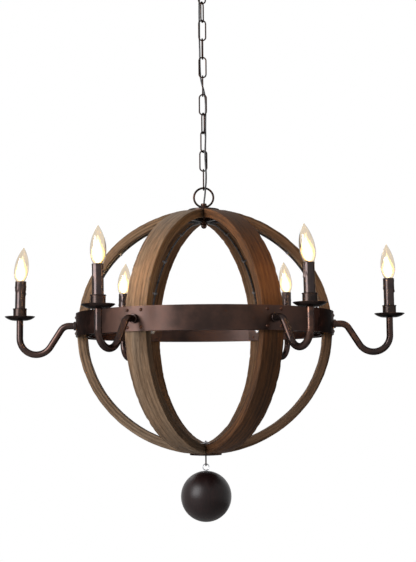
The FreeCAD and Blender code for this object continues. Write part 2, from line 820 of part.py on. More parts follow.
def arm_fastenings():
    """Collar outside the band, nut inside it and the hollow rod through both."""
    collar_low = "band_face + seat_gap"
    shape = [(f"{collar_low} + {along}", across) for along, across in (
        ("0", "rod_hole"),
        ("collar_thick", "rod_hole"),
        ("collar_thick", "collar_radius - collar_edge"),
        ("collar_thick - collar_edge", "collar_radius"),
        ("0", "collar_radius"),
    )]
    collar = turned("arm_collar", shape, {2: ("collar_edge", True)}, axis="H_Axis")
    rod = hollow_rod("arm_nipple", "rod_inside", "arm_start + bush_length - 1", axis="H_Axis")
    nut = hex_nut("arm_nut", "YZ_Plane", "liner_inside - seat_gap - nut_thick")
    return [
        group("arm_collars", collar, around("band_level")),
        group("arm_nipples", rod, around("band_level")),
        group("arm_nuts", nut, around("band_level")),
    ]


def drip_pan():
    """A shallow saucer, flat in the middle, rising in one curve to its rim."""
    share = "(pan_curve - pan_wall) / pan_curve"
    corners = [
        ("rod_hole", "0"),
        ("pan_flat", "0"),
        ("pan_radius", "pan_rise"),
        (f"pan_flat + (pan_radius - pan_flat) * {share}", f"pan_curve + (pan_rise - pan_curve) * {share}"),
        ("pan_flat", "pan_wall"),
        ("rod_hole", "pan_wall"),
    ]
    return turned("drip_pan", corners, {1: ("pan_curve", True), 3: ("pan_curve - pan_wall", False)})


def candle_cup():
    """A round-bottomed cup with a beaded lip that the candle sleeve stands in."""
    inner = "cup_radius - cup_wall"
    lip = "cup_height - 2 * cup_bead"
    corners = [
        ("rod_hole", "0"),
        ("cup_foot", "0"),
        ("cup_radius", "cup_swell"),
        ("cup_radius", lip),
        ("cup_radius + cup_bead", "cup_height - cup_bead"),
        ("cup_radius", "cup_height"),
        (inner, "cup_height"),
        (inner, "cup_swell"),
        ("sleeve_radius + cup_wall / 2", "cup_floor"),
        ("rod_hole", "cup_floor"),
    ]
    arcs = {
        1: ("1.25 * cup_swell", True),
        3: ("cup_bead", True),
        4: ("cup_bead", True),
    }
    return turned("candle_cup", corners, arcs)


def lamp_socket():
    """A long candle socket on the rod, with a well for the bulb's base; zero is the cup's floor."""
    top = "sleeve_length - socket_sink"
    rod_depth = "rod_height - sleeve_level + 2"
    corners = [
        ("rod_hole", "0"),
        ("socket_radius", "0"),
        ("socket_radius", top),
        ("socket_cavity", top),
        ("socket_cavity", f"{top} - cavity_depth"),
        ("0", f"{top} - cavity_depth"),
        ("0", rod_depth),
        ("rod_hole", rod_depth),
    ]
    return turned("lamp_socket", corners)


def candle_stacks():
    sleeve = turned("candle_sleeve", washer_shape("sleeve_radius - sleeve_wall", "sleeve_radius", "0",
                                                  "sleeve_length"))
    rod = hollow_rod("candle_nipple", "arm_rise - bush_length + 1", "rod_height")
    stack = (
        ("drip_pans", drip_pan(), "pan_level"),
        ("candle_cups", candle_cup(), "cup_level"),
        ("candle_nipples", rod, "0"),
        ("candle_sleeves", sleeve, "sleeve_level"),
        ("lamp_sockets", lamp_socket(), "sleeve_level"),
    )
    return [group(label, piece, around(f"band_level + {level}", "candle_circle"))
            for label, piece, level in stack]


def bulb(number, azimuth):
    """A candle bulb on its screw base; zero is the sleeve's top."""
    lower = "(bulb_swell ^ 2 + bulb_below ^ 2) / (2 * bulb_swell)"
    upper = "(bulb_taper ^ 2 + bulb_above ^ 2) / (2 * bulb_taper)"
    corners = [
        ("0", "-base_depth"),
        ("base_radius", "-base_depth"),
        ("base_radius", "-neck_depth"),
        ("neck_radius", "-neck_depth"),
        ("bulb_radius", "bulb_waist"),
        ("tip_radius", "tip_rise"),
        ("0", "tip_rise + tip_radius"),
    ]
    arcs = {3: (lower, True), 4: (upper, True), 5: ("tip_radius", True)}
    body = turned(f"bulb_{number}", corners, arcs)
    return stand(body, "band_level + sleeve_top", "candle_circle", azimuth)


# Wiring --------------------------------------------------------------------------------------------------

def add_big_arc(sketch, centre, radius, start, end):
    """An arc about a centre between two angles, walked in either direction."""
    low, high = sorted((start, end))
    return sketch.addGeometry(Part.ArcOfCircle(Part.Circle(centre, Z_AXIS, radius), low, high))


def rib_wire():
    """The lamp cable of one rib: out of the hub, along the rib's inner face, into the arm and up to
    the socket. It is drawn in the rib's plane."""
    lift = value("wire_radius + wire_lift")
    top_centre = Vector(0, -value("top_offset + orb_sink"), 0)
    side_centre = Vector(value("side_centre"), -value("orb_sink"), 0)
    top = value("inner_top") - lift
    side = value("inner_side") - lift
    joint = math.radians(value("joint_angle"))
    level = value("wire_level")
    bend = value("wire_bend")
    rise = level - bend - top_centre.y
    bend_centre = Vector(math.sqrt((top - bend) ** 2 - rise ** 2), level - bend, 0)
    bend_end = math.atan2(rise, bend_centre.x)
    leave = math.asin(value("band_height + orb_sink") / side)
    start = Vector(value("finial_neck - finial_wall") + 0.3, level, 0)

    body = new_body("rib_wire")
    path = sketch_on(body, "XZ_Plane", "rib_wire_path")
    path.addGeometry(Part.LineSegment(start, Vector(bend_centre.x, level, 0)))
    add_big_arc(path, bend_centre, bend, math.pi / 2, bend_end)
    add_big_arc(path, top_centre, top, bend_end, joint)
    add_big_arc(path, side_centre, side, joint, leave)
    down = Vector(math.sin(leave), -math.cos(leave), 0)
    on_rib = side_centre + Vector(math.cos(leave), math.sin(leave), 0) * side
    tuck = value("wire_tuck")
    inside = value("rod_inside") - tuck + 0.5
    corners = [
        on_rib,
        on_rib + down * 14,
        Vector(inside, value("band_height / 2") + 3, 0),
        Vector(inside, 0, 0),
        Vector(value("arm_elbow"), 0, 0),
        Vector(value("candle_circle"), value("arm_corner"), 0),
        Vector(value("candle_circle"), value("rod_height") - 2, 0),
    ]
    bends = [18, 20, tuck, value("first_bend"), value("bowl_bend")]
    for edge in rounded_run(corners, bends):
        path.addGeometry(edge)
    section = sketch_on(body, "YZ_Plane", "rib_wire_section", "finial_neck - finial_wall + 0.3")
    circle(section, "wire_radius", "0", "wire_level")
    pipe(body, "rib_wire_cable", path, section)
    return body


def rounded_run(points, radii):
    """Straight edges through the points with a tangent arc of each radius at the inner points."""
    edges = []
    run_start = points[0]
    for number, radius in enumerate(radii, start=1):
        arriving = (points[number] - points[number - 1]).normalize()
        leaving = (points[number + 1] - points[number]).normalize()
        half = arriving.getAngle(leaving) / 2
        arc_start = points[number] - arriving * (radius * math.tan(half))
        arc_end = points[number] + leaving * (radius * math.tan(half))
        inward = (leaving - arriving).normalize()
        middle = points[number] + inward * (radius / math.cos(half) - radius)
        edges.append(Part.LineSegment(run_start, arc_start))
        edges.append(Part.Arc(arc_start, middle, arc_end))
        run_start = arc_end
    edges.append(Part.LineSegment(run_start, points[-1]))
    return edges


def wire_clip():
    """A saddle over the cable; zero is the rib's face and +Z points into the orb."""
    body = new_body("wire_clip")
    section = sketch_on(body, "YZ_Plane", "wire_clip_section", "-clip_width / 2")
    inner = "wire_radius + shank_fit"
    outer = f"{inner} + clip_thick"
    low = "seat_gap"
    foot = f"{low} + clip_thick"
    axis = "wire_radius + wire_lift"
    corners = [
        (f"-({inner})", low),
        (f"-({inner})", axis),
        ("0", f"{axis} + {inner}"),
        (inner, axis),
        (inner, low),
        ("clip_reach", low),
        ("clip_reach", foot),
        (outer, foot),
        (outer, axis),
        ("0", f"{axis} + {outer}"),
        (f"-({outer})", axis),
        (f"-({outer})", foot),
        ("-clip_reach", foot),
        ("-clip_reach", low),
    ]
    arcs = {1: (inner, False), 2: (inner, False), 8: (outer, True), 9: (outer, True)}
    outline(section, corners, arcs)
    pad(body, "wire_clip_strip", section, "clip_width")
    return body


def wiring():
    """Six lamp cables with three clips each along the ribs."""
    wires = group("rib_wires", rib_wire(), around("band_level"))
    clip = wire_clip()
    spots = (("inner_top", "0", "-top_offset", 67.0), ("inner_top", "0", "-top_offset", 45.4),
             ("inner_side", "side_centre", "0", 25.0))
    places = []
    for radius, centre, lift, angle in spots:
        inward = math.degrees(math.atan2(-math.cos(math.radians(angle)), -math.sin(math.radians(angle))))
        for azimuth in AZIMUTHS:
            level = f"band_level - orb_sink + {lift} + {radius} * sin({angle})"
            out = f"{centre} + {radius} * cos({angle})"
            places.append((level, out, azimuth, Rotation(Y_AXIS, inward)))
    return [wires, group("wire_clips", clip, places)]


# Hook, eye and ball --------------------------------------------------------------------------------------

def ball_hook():
    """A bent rod: a threaded shank through the bottom pole, a short back bend and an open bow."""
    body = new_body("ball_hook")
    bow = value("hook_bow")
    back = value("hook_back")
    rise = math.sqrt((bow + back) ** 2 - back ** 2)
    shank_low = value("hook_level") + rise
    shank_top = "plate_over + seat_gap + nut_thick + hook_thread"
    touch = math.atan2(rise, back)
    mouth = math.radians(value("hook_mouth"))
    path = sketch_on(body, "YZ_Plane", "ball_hook_path")
    path.addGeometry(Part.LineSegment(Vector(0, value(shank_top), 0), Vector(0, shank_low, 0)))
    back_circle = Part.Circle(Vector(back, shank_low, 0), Z_AXIS, back)
    path.addGeometry(Part.ArcOfCircle(back_circle, math.pi, math.pi + touch))
    bow_circle = Part.Circle(Vector(0, value("hook_level"), 0), Z_AXIS, bow)
    path.addGeometry(Part.ArcOfCircle(bow_circle, mouth, 2 * math.pi + touch))
    section = sketch_on(body, "XY_Plane", "ball_hook_section", shank_top)
    circle(section, "hook_wire")
    pipe(body, "ball_hook_wire", path, section)
    return stand(body, "band_level")


def ball_eye():
    """A screw eye: a ring across the hook's bow and a stem down into the ball."""
    body = new_body("ball_eye")
    ring(body, "ball_eye_ring", "eye_ring", "eye_wire", "0")
    turn(body, "ball_eye_stem", washer_shape("0", "stem_radius", "-eye_ring - eye_wire - stem_length",
                                             "-eye_ring"))
    return stand(body, "band_level + eye_level")


def ball():
    hole = "stem_radius + shank_fit"
    corners = [
        ("0", "-ball_radius"),
        ("ball_radius", "0"),
        (hole, f"sqrt(ball_radius ^ 2 - ({hole}) ^ 2)"),
        (hole, "ball_radius - stem_length - stem_space"),
        ("0", "ball_radius - stem_length - stem_space"),
    ]
    arcs = {0: ("ball_radius", True), 1: ("ball_radius", True)}
    return stand(turned("ball", corners, arcs), "band_level + ball_level")


def bottom_pole():
    """Cap outside and plate inside the bottom pole, with the hook's nut on the plate."""
    hole = "hook_wire + shank_fit"
    cap = pole_cap("bottom_cap", hole)
    stand(cap, "band_level + pole_foot", tilt=Rotation(X_AXIS, 180))
    plate = stand(pole_plate("bottom_plate", hole), "band_level + plate_over - plate_thick")
    nut = new_body("hook_nut")
    section = sketch_on(nut, "XY_Plane", "hook_nut_section")
    hexagon(section, "hook_flats")
    circle(section, hole)
    pad(nut, "hook_nut_pad", section, "nut_thick")
    stand(nut, "band_level + plate_over + seat_gap")
    return [cap, plate, nut, ball_hook()]


# Supply cord ---------------------------------------------------------------------------------------------

def link_middle(number):
    """The height of a link's middle, counted from 1 at the top."""
    return value("chain_top") - value("link_reach") / 2 - (number - 1) * value("link_pitch")


def cord_points():
    """The cord's route: down the canopy's rod, woven along the chain and into the hub's rod.
    Each stop is a link's number, how far above that link's middle it lies, and where it stands in plan."""
    stops = (
        (1, 8, -6.2, 4.6), (1, -12, -6.6, 4.8),
        (2, 12, -7.2, 3.0), (2, -12, -7.3, 3.9),
        (3, 12, -7.1, 4.6), (3, -12, -7.3, 4.4),
        (4, 11, -6.8, 3.6), (4, -12, -6.4, 4.4),
        (5, 12, -6.7, 4.7), (5, -12, -6.0, 4.5),
        (6, 20, -4.9, 4.1), (6, 4, -1.5, 3.7), (6, -10, 2.6, 3.6),
        (7, 22, 5.4, 4.2), (7, 4, 6.8, 4.6), (7, -14, 6.9, 4.4),
        (8, 12, 6.2, 3.0), (8, -12, 5.8, 1.0),
        (9, 12, 6.1, -1.6), (9, -12, 5.0, -4.8),
        (10, 12, 4.2, -5.6), (10, -12, 5.4, -5.8),
        (11, 13, 6.7, -4.6), (11, -11, 6.0, -3.6),
    )
    canopy_exit = value("-canopy_depth - small_collar")
    points = [Vector(0, 0, 0), Vector(0, 0, canopy_exit), Vector(-5.6, 3.8, canopy_exit - 18)]
    for link, above, x, y in stops:
        points.append(Vector(x, y, link_middle(link) + above))
    hub = value("band_level + loop_seat")
    points += [
        Vector(4.4, -5.6, hub + 50),
        Vector(3.2, -3.6, hub + 32),
        Vector(0, 0, hub + 12),
        Vector(0, 0, value("band_level + plate_under") - 6),
    ]
    return points


def supply_cord():
    """A round cord swept along straight runs joined by tangent arcs."""
    points = cord_points()
    radii = []
    for before, point, after in zip(points, points[1:], points[2:]):
        run = min((point - before).Length, (after - point).Length)
        turn_angle = (point - before).getAngle(after - point)
        radii.append(0.45 * run / math.tan(max(turn_angle, 0.01) / 2))
    path = Part.Wire([edge.toShape() for edge in rounded_run(points, radii)])
    print("cord bend radii:", [round(radius) for radius in radii])
    section = Part.Wire(Part.Circle(points[0], points[1] - points[0], value("cord_radius")).toShape())
    cord = doc.addObject("Part::Feature", "supply_cord")
    cord.Label = "supply_cord"
    cord.Shape = path.makePipeShell([section], True, True)
    cord.Placement = Placement()
    expected = math.pi * value("cord_radius") ** 2 * path.Length
    print(f"cord length {path.Length:.1f}, volume {cord.Shape.Volume:.1f} of {expected:.1f}")
    return cord


# Assembly ------------------------------------------------------------------------------------------------

def assemble():
    """Every sub-part of the chandelier, from the ceiling down."""
    rivet_drill = carried("rivet_drill", radial_drill("rivet_bit", "rivet_shank + shank_fit"))
    arm_drill = carried("arm_drill", radial_drill("arm_bit", "rod_hole"))
    band_drills = doc.addObject("Part::Compound", "band_drills")
    band_drills.Links = [
        group("rivet_drills", rivet_drill, rivet_places(AZIMUTHS)),
        group("arm_drills", arm_drill, around("band_level")),
    ]
    parts = [*ceiling_fixing(), supply_cord(), *chain(), *hub()]
    parts += [outer_band(band_drills), inner_band(band_drills), band_rivets()]
    for number, azimuth in enumerate(AZIMUTHS, start=1):
        parts += [rib(number, azimuth, rivet_drill), arm_tube(number, azimuth), bulb(number, azimuth)]
    parts += [*arm_fastenings(), *candle_stacks(), *wiring(), *bottom_pole(), ball(), ball_eye()]
    return parts


parts = assemble()
doc.recompute()

for thing in doc.Objects:
    if "Invalid" in thing.State or "Error" in thing.State:
        raise RuntimeError(f"{thing.Name} failed: {thing.State}")

os.makedirs("parts", exist_ok=True)
for part in parts:
    shape = part.Shape
    if shape.isNull() or not shape.isValid() or not shape.Solids:
        raise RuntimeError(f"{part.Label} has no valid solid")
    shape.exportStep(f"parts/{part.Label}.step")
    print(f"{part.Label}: {len(shape.Solids)} solids, {shape.Volume / 1000:.1f} cm3")
print(len(parts), "sub-parts")
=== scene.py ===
"""Looks of the orb chandelier: weathered wood ribs, dark bronze metalwork and lit candle bulbs.

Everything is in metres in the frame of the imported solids, with the ceiling at height zero.
"""

import logging
import math
import random
from dataclasses import dataclass
from enum import Enum

import bmesh
import bpy
import numpy as np
from mathutils import Matrix, Vector, noise

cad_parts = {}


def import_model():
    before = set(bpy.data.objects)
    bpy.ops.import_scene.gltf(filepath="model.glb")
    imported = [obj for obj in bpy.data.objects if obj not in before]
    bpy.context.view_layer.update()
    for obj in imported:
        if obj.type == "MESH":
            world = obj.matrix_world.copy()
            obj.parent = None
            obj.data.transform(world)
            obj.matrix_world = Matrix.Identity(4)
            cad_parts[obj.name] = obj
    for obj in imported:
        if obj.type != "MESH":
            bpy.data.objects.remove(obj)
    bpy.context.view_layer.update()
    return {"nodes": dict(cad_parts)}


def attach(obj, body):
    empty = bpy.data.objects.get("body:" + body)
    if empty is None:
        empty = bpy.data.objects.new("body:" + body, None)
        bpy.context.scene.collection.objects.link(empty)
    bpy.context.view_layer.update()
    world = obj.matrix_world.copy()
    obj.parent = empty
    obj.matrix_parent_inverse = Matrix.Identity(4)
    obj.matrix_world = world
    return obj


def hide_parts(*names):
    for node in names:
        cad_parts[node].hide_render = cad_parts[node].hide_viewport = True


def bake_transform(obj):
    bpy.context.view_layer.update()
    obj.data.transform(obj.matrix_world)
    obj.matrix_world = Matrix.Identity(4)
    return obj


LOG = logging.getLogger("chandelier")
Colour = tuple[float, float, float]
Socket = bpy.types.NodeSocket
RIB_COUNT = 6
AZIMUTHS = tuple(math.tau / RIB_COUNT * number for number in range(RIB_COUNT))
BAND_LEVEL = -0.89945
CANDLE_CIRCLE = 0.4445
SLEEVE_FOOT = BAND_LEVEL + 0.0197
SLEEVE_TOP = BAND_LEVEL + 0.1085


# Shader building ---------------------------------------------------------------------------------


class Kind(Enum):
    """What a node group's socket carries."""

    NUMBER = "NodeSocketFloat"
    COLOUR = "NodeSocketColor"
    VECTOR = "NodeSocketVector"


@dataclass
class Wiring:
    """A node tree while it is being filled."""

    tree: bpy.types.NodeTree

    def feed(self, socket: Socket, value: object) -> None:
        """Links a socket, or sets its own value.

        Args:
            socket: the input socket.
            value: another node's output socket, or a plain value.
        """
        if isinstance(value, bpy.types.NodeSocket):
            self.tree.links.new(value, socket)
        else:
            socket.default_value = value

    def node(self, kind: str, inputs: dict | None = None, **settings: object) -> bpy.types.Node:
        """Adds a node.

        Args:
            kind: the node's type name.
            inputs: what each input socket gets, by name or number.
            **settings: the node's own settings.

        Returns:
            The new node.
        """
        made = self.tree.nodes.new(kind)
        for name, setting in settings.items():
            setattr(made, name, setting)
        for key, value in (inputs or {}).items():
            self.feed(made.inputs[key], value)
        return made

    def math(self, operation: str, *values: object, clamp: bool = False) -> Socket:
        """Adds a Math node on the values and returns its output."""
        made = self.node("ShaderNodeMath", dict(enumerate(values)), operation=operation, use_clamp=clamp)
        return made.outputs[0]

    def stretch(self, place: Socket, factors: Colour) -> Socket:
        """Returns a place multiplied axis by axis."""
        return self.node("ShaderNodeVectorMath", {0: place, 1: factors}, operation="MULTIPLY").outputs[0]

    def speckle(self, place: Socket, seed: object, scale: object = 1.0, detail: float = 4.0,
                roughness: float = 0.55) -> Socket:
        """Returns the value of a noise of four dimensions, whose fourth is the seed.

        Args:
            place: where the noise is read.
            seed: the fourth dimension.
            scale: the noise's scale.
            detail: its octaves.
            roughness: how strong the fine octaves are.

        Returns:
            The noise's value.
        """
        made = self.node(
            "ShaderNodeTexNoise",
            {"Vector": place, "W": seed, "Scale": scale, "Detail": detail, "Roughness": roughness},
            noise_dimensions="4D",
        )
        return made.outputs[0]

    def span(self, value: Socket, low: float, high: float) -> Socket:
        """Returns a value spread from low and high to 0 and 1, and kept between them.

        Args:
            value: the value to spread.
            low: what becomes 0.
            high: what becomes 1.

        Returns:
            The spread value.
        """
        made = self.node(
            "ShaderNodeMapRange", {"Value": value, "From Min": low, "From Max": high},
            interpolation_type="SMOOTHSTEP",
        )
        return made.outputs[0]

    def mix(self, factor: object, first: object, second: object) -> Socket:
        """Returns a mixed colour; plain colours are given as three numbers.

        Args:
            factor: the share of the second colour.
            first: a colour.
            second: another colour.

        Returns:
            The mixed colour.
        """
        made = self.node("ShaderNodeMix", data_type="RGBA")
        self.feed(made.inputs[0], factor)
        for number, colour in ((6, first), (7, second)):
            plain = colour if isinstance(colour, bpy.types.NodeSocket) else (*colour, 1.0)
            self.feed(made.inputs[number], plain)
        return made.outputs[2]

    def bump(self, height: Socket, strength: float, distance: float) -> Socket:
        """Returns the normal of a bumped surface."""
        made = self.node("ShaderNodeBump", {"Height": height, "Strength": strength, "Distance": distance})
        return made.outputs[0]

    def group(self, tree: bpy.types.NodeTree, **inputs: object) -> bpy.types.Node:
        """Places a node group and fills its inputs, with _ for a space in their names.

        Args:
            tree: the group's node tree.
            **inputs: what each input gets.

        Returns:
            The group's node.
        """
        made = self.tree.nodes.new("ShaderNodeGroup")
        made.node_tree = tree
        for name, value in inputs.items():
            self.feed(made.inputs[name.replace("_", " ")], value)
        return made


def new_group(name: str, inputs: dict[str, Kind], outputs: dict[str, Kind]) -> tuple[Wiring, dict, object]:
    """Starts a shader node group.

    Args:
        name: the group's name.
        inputs: each input's name and kind.
        outputs: each output's name and kind.

    Returns:
        The group's wiring, its input sockets by name and its output node.
    """
    tree = bpy.data.node_groups.new(name, "ShaderNodeTree")
    for way, sockets in (("INPUT", inputs), ("OUTPUT", outputs)):
        for label, kind in sockets.items():
            tree.interface.new_socket(label, in_out=way, socket_type=kind.value)
    wiring = Wiring(tree)
    entry = wiring.node("NodeGroupInput")
    given = {socket.name: socket for socket in entry.outputs if socket.name}
    return wiring, given, wiring.node("NodeGroupOutput")


class Effects:
    """The shader node groups that more than one material uses, each built once."""

    def __init__(self) -> None:
        """Builds the groups."""
        self.grain = self._grain()
        self.patina = self._patina()
        self.edges = self._edges()

    def _grain(self) -> bpy.types.NodeTree:
        """Wood grain on a board that runs along X, in metres.

        Returns:
            The group's node tree.
        """
        wiring, given, result = new_group(
            "wood_grain", {"Place": Kind.VECTOR, "Seed": Kind.NUMBER},
            {"Tone": Kind.NUMBER, "Film": Kind.NUMBER, "Stain": Kind.NUMBER, "Height": Kind.NUMBER},
        )
        place, seed = given["Place"], given["Seed"]
        sway = wiring.speckle(wiring.stretch(place, (3.5, 16.0, 16.0)), seed, detail=2.0)
        streaks = wiring.speckle(wiring.stretch(place, (8.0, 170.0, 170.0)), seed, detail=6.0, roughness=0.68)
        fibres = wiring.speckle(wiring.stretch(place, (55.0, 1100.0, 1100.0)), seed, detail=3.0)
        parts = wiring.node("ShaderNodeSeparateXYZ", {0: place})
        across = wiring.math("MULTIPLY", parts.outputs[1], 620.0)
        through = wiring.math("MULTIPLY", parts.outputs[2], 900.0)
        rings = wiring.math("ADD", wiring.math("ADD", across, through), wiring.math("MULTIPLY", sway, 12.0))
        wave = wiring.math("MULTIPLY_ADD", wiring.math("SINE", rings), 0.5, 0.5)
        tone = wiring.math("MULTIPLY_ADD", streaks, 0.8, wiring.math("MULTIPLY", wave, 0.07))
        tone = wiring.math("MULTIPLY_ADD", fibres, 0.4, tone)
        film = wiring.speckle(wiring.stretch(place, (6.0, 26.0, 26.0)), seed, detail=5.0, roughness=0.6)
        stain = wiring.speckle(wiring.stretch(place, (17.0, 48.0, 48.0)), seed, detail=7.0, roughness=0.7)
        wiring.feed(result.inputs["Tone"], wiring.span(tone, 0.38, 0.92))
        wiring.feed(result.inputs["Film"], wiring.span(film, 0.38, 0.66))
        wiring.feed(result.inputs["Stain"], wiring.span(stain, 0.56, 0.74))
        wiring.feed(result.inputs["Height"], wiring.math("MULTIPLY_ADD", fibres, 0.6, streaks))
        return wiring.tree

    def _patina(self) -> bpy.types.NodeTree:
        """Blotches of an oil-rubbed finish, with copper showing here and there.

        Returns:
            The group's node tree.
        """
        wiring, given, result = new_group(
            "metal_patina", {"Place": Kind.VECTOR, "Seed": Kind.NUMBER, "Scale": Kind.NUMBER},
            {"Mottle": Kind.NUMBER, "Copper": Kind.NUMBER, "Height": Kind.NUMBER},
        )
        place, seed, scale = given["Place"], given["Seed"], given["Scale"]
        mottle = wiring.speckle(place, seed, wiring.math("MULTIPLY", scale, 2.4), 5.0, 0.6)
        patches = wiring.speckle(place, seed, scale, 2.0)
        rub = wiring.speckle(place, seed, wiring.math("MULTIPLY", scale, 9.0), 4.0, 0.7)
        copper = wiring.math("MULTIPLY", wiring.span(patches, 0.52, 0.68), wiring.span(rub, 0.4, 0.62))
        grit = wiring.speckle(place, seed, 1400.0, 2.0)
        wiring.feed(result.inputs["Mottle"], wiring.span(mottle, 0.34, 0.66))
        wiring.feed(result.inputs["Copper"], copper)
        wiring.feed(result.inputs["Height"], wiring.math("MULTIPLY_ADD", grit, 0.3, mottle))
        return wiring.tree

    def _edges(self) -> bpy.types.NodeTree:
        """Wear along edges: where a rounded normal leaves the face's own.

        Returns:
            The group's node tree.
        """
        wiring, given, result = new_group(
            "edge_wear", {"Radius": Kind.NUMBER, "Seed": Kind.NUMBER}, {"Wear": Kind.NUMBER}
        )
        rounded = wiring.node("ShaderNodeBevel", {"Radius": given["Radius"]}, samples=4)
        plain = wiring.node("ShaderNodeNewGeometry")
        match = wiring.node(
            "ShaderNodeVectorMath", {0: rounded.outputs[0], 1: plain.outputs["Normal"]},
            operation="DOT_PRODUCT",
        )
        edge = wiring.span(wiring.math("SUBTRACT", 1.0, match.outputs["Value"]), 0.02, 0.22)
        place = wiring.node("ShaderNodeTexCoord").outputs["Object"]
        rub = wiring.span(wiring.speckle(place, given["Seed"], 70.0, 5.0, 0.7), 0.42, 0.62)
        wiring.feed(result.inputs["Wear"], wiring.math("MULTIPLY", edge, rub))
        return wiring.tree


# Finishes ----------------------------------------------------------------------------------------


def new_material(name: str) -> tuple[bpy.types.Material, Wiring, bpy.types.Node]:
    """Starts a material.

    Args:
        name: the material's name.

    Returns:
        The material, its wiring and its Principled BSDF.
    """
    material = bpy.data.materials.new(name)
    material.use_nodes = True
    wiring = Wiring(material.node_tree)
    return material, wiring, material.node_tree.nodes["Principled BSDF"]


def set_shader(shader: bpy.types.Node, **values: object) -> None:
    """Sets the shader's own sockets, with _ for a space in their names."""
    for name, value in values.items():
        shader.inputs[name.replace("_", " ")].default_value = value


@dataclass(frozen=True)
class Wood:
    """Weathered, stained wood with its grain along the board."""

    name: str
    dark: Colour
    light: Colour
    film: Colour
    seed: float
    stain: Colour = (0.022, 0.012, 0.007)
    film_share: float = 0.6
    worn: Colour = (0.36, 0.25, 0.16)
    roughness: float = 0.7
    shine: float = 0.1

    def material(self, effects: Effects) -> bpy.types.Material:
        """Returns the finish as a material for a piece with a board attribute.

        Args:
            effects: the shared shader groups.

        Returns:
            The material.
        """
        material, wiring, shader = new_material(self.name)
        place = wiring.node("ShaderNodeAttribute", attribute_name="board").outputs["Vector"]
        grain = wiring.group(effects.grain, Place=place, Seed=self.seed)
        wear = wiring.group(effects.edges, Radius=0.0022, Seed=self.seed)
        wood = wiring.mix(grain.outputs["Tone"], self.dark, self.light)
        veiled = wiring.mix(grain.outputs["Tone"], self.dark, self.film)
        film = wiring.math("MULTIPLY", grain.outputs["Film"], self.film_share)
        surface = wiring.mix(film, wood, veiled)
        surface = wiring.mix(wiring.math("MULTIPLY", grain.outputs["Stain"], 0.8), surface, self.stain)
        surface = wiring.mix(wiring.math("MULTIPLY", wear.outputs["Wear"], 0.55), surface, self.worn)
        wiring.feed(shader.inputs["Base Color"], surface)
        rough = wiring.math("MULTIPLY_ADD", grain.outputs["Tone"], 0.16, self.roughness - 0.08)
        wiring.feed(shader.inputs["Roughness"], rough)
        wiring.feed(shader.inputs["Normal"], wiring.bump(grain.outputs["Height"], 0.55, 0.0012))
        set_shader(shader, Specular_IOR_Level=self.shine)
        return material


@dataclass(frozen=True)
class BallWood:
    """Dark stained turned wood under a satin lacquer."""

    name: str = "ball_lacquered_wood"
    dark: Colour = (0.0045, 0.0022, 0.0022)
    light: Colour = (0.013, 0.005, 0.0045)

    def material(self, effects: Effects) -> bpy.types.Material:
        """Returns the finish as a material.

        Args:
            effects: the shared shader groups.

        Returns:
            The material.
        """
        material, wiring, shader = new_material(self.name)
        spot = wiring.node("ShaderNodeTexCoord").outputs["Object"]
        quarter = {"Vector": spot, "Angle": math.pi / 2}
        turned = wiring.node("ShaderNodeVectorRotate", quarter, rotation_type="Y_AXIS")
        grain = wiring.group(effects.grain, Place=turned.outputs[0], Seed=3.7)
        wiring.feed(shader.inputs["Base Color"], wiring.mix(grain.outputs["Tone"], self.dark, self.light))
        rough = wiring.math("MULTIPLY_ADD", grain.outputs["Film"], 0.06, 0.36)
        wiring.feed(shader.inputs["Roughness"], rough)
        wiring.feed(shader.inputs["Normal"], wiring.bump(grain.outputs["Height"], 0.12, 0.0006))
        set_shader(shader, Specular_IOR_Level=0.2)
        return material


@dataclass(frozen=True)
class Bronze:
    """An oil-rubbed bronze finish, mottled dark and brown, and coppery where it is rubbed."""

    name: str
    dark: Colour = (0.018, 0.013, 0.012)
    brown: Colour = (0.04, 0.026, 0.022)
    copper: Colour = (0.30, 0.13, 0.07)
    copper_share: float = 0.35
    wear: float = 0.5
    metallic: float = 0.85
    roughness: float = 0.27
    scale: float = 22.0
    seed: float = 1.0
    edge_tint: Colour = (0.16, 0.13, 0.12)

    def material(self, effects: Effects) -> bpy.types.Material:
        """Returns the finish as a material.

        Args:
            effects: the shared shader groups.

        Returns:
            The material.
        """
        material, wiring, shader = new_material(self.name)
        spot = wiring.node("ShaderNodeTexCoord").outputs["Object"]
        patina = wiring.group(effects.patina, Place=spot, Seed=self.seed, Scale=self.scale)
        wear = wiring.group(effects.edges, Radius=0.0012, Seed=self.seed)
        surface = wiring.mix(patina.outputs["Mottle"], self.dark, self.brown)
        rubbed = wiring.math("MULTIPLY", patina.outputs["Copper"], self.copper_share)
        worn = wiring.math("MULTIPLY", wear.outputs["Wear"], self.wear)
        surface = wiring.mix(wiring.math("MAXIMUM", rubbed, worn), surface, self.copper)
        wiring.feed(shader.inputs["Base Color"], surface)
        rough = wiring.math("MULTIPLY_ADD", patina.outputs["Mottle"], 0.12, self.roughness - 0.06)
        wiring.feed(shader.inputs["Roughness"], rough)
        wiring.feed(shader.inputs["Normal"], wiring.bump(patina.outputs["Height"], 0.1, 0.0004))
        set_shader(shader, Metallic=self.metallic, Specular_IOR_Level=0.2)
        set_shader(shader, Specular_Tint=(*self.edge_tint, 1.0))
        return material


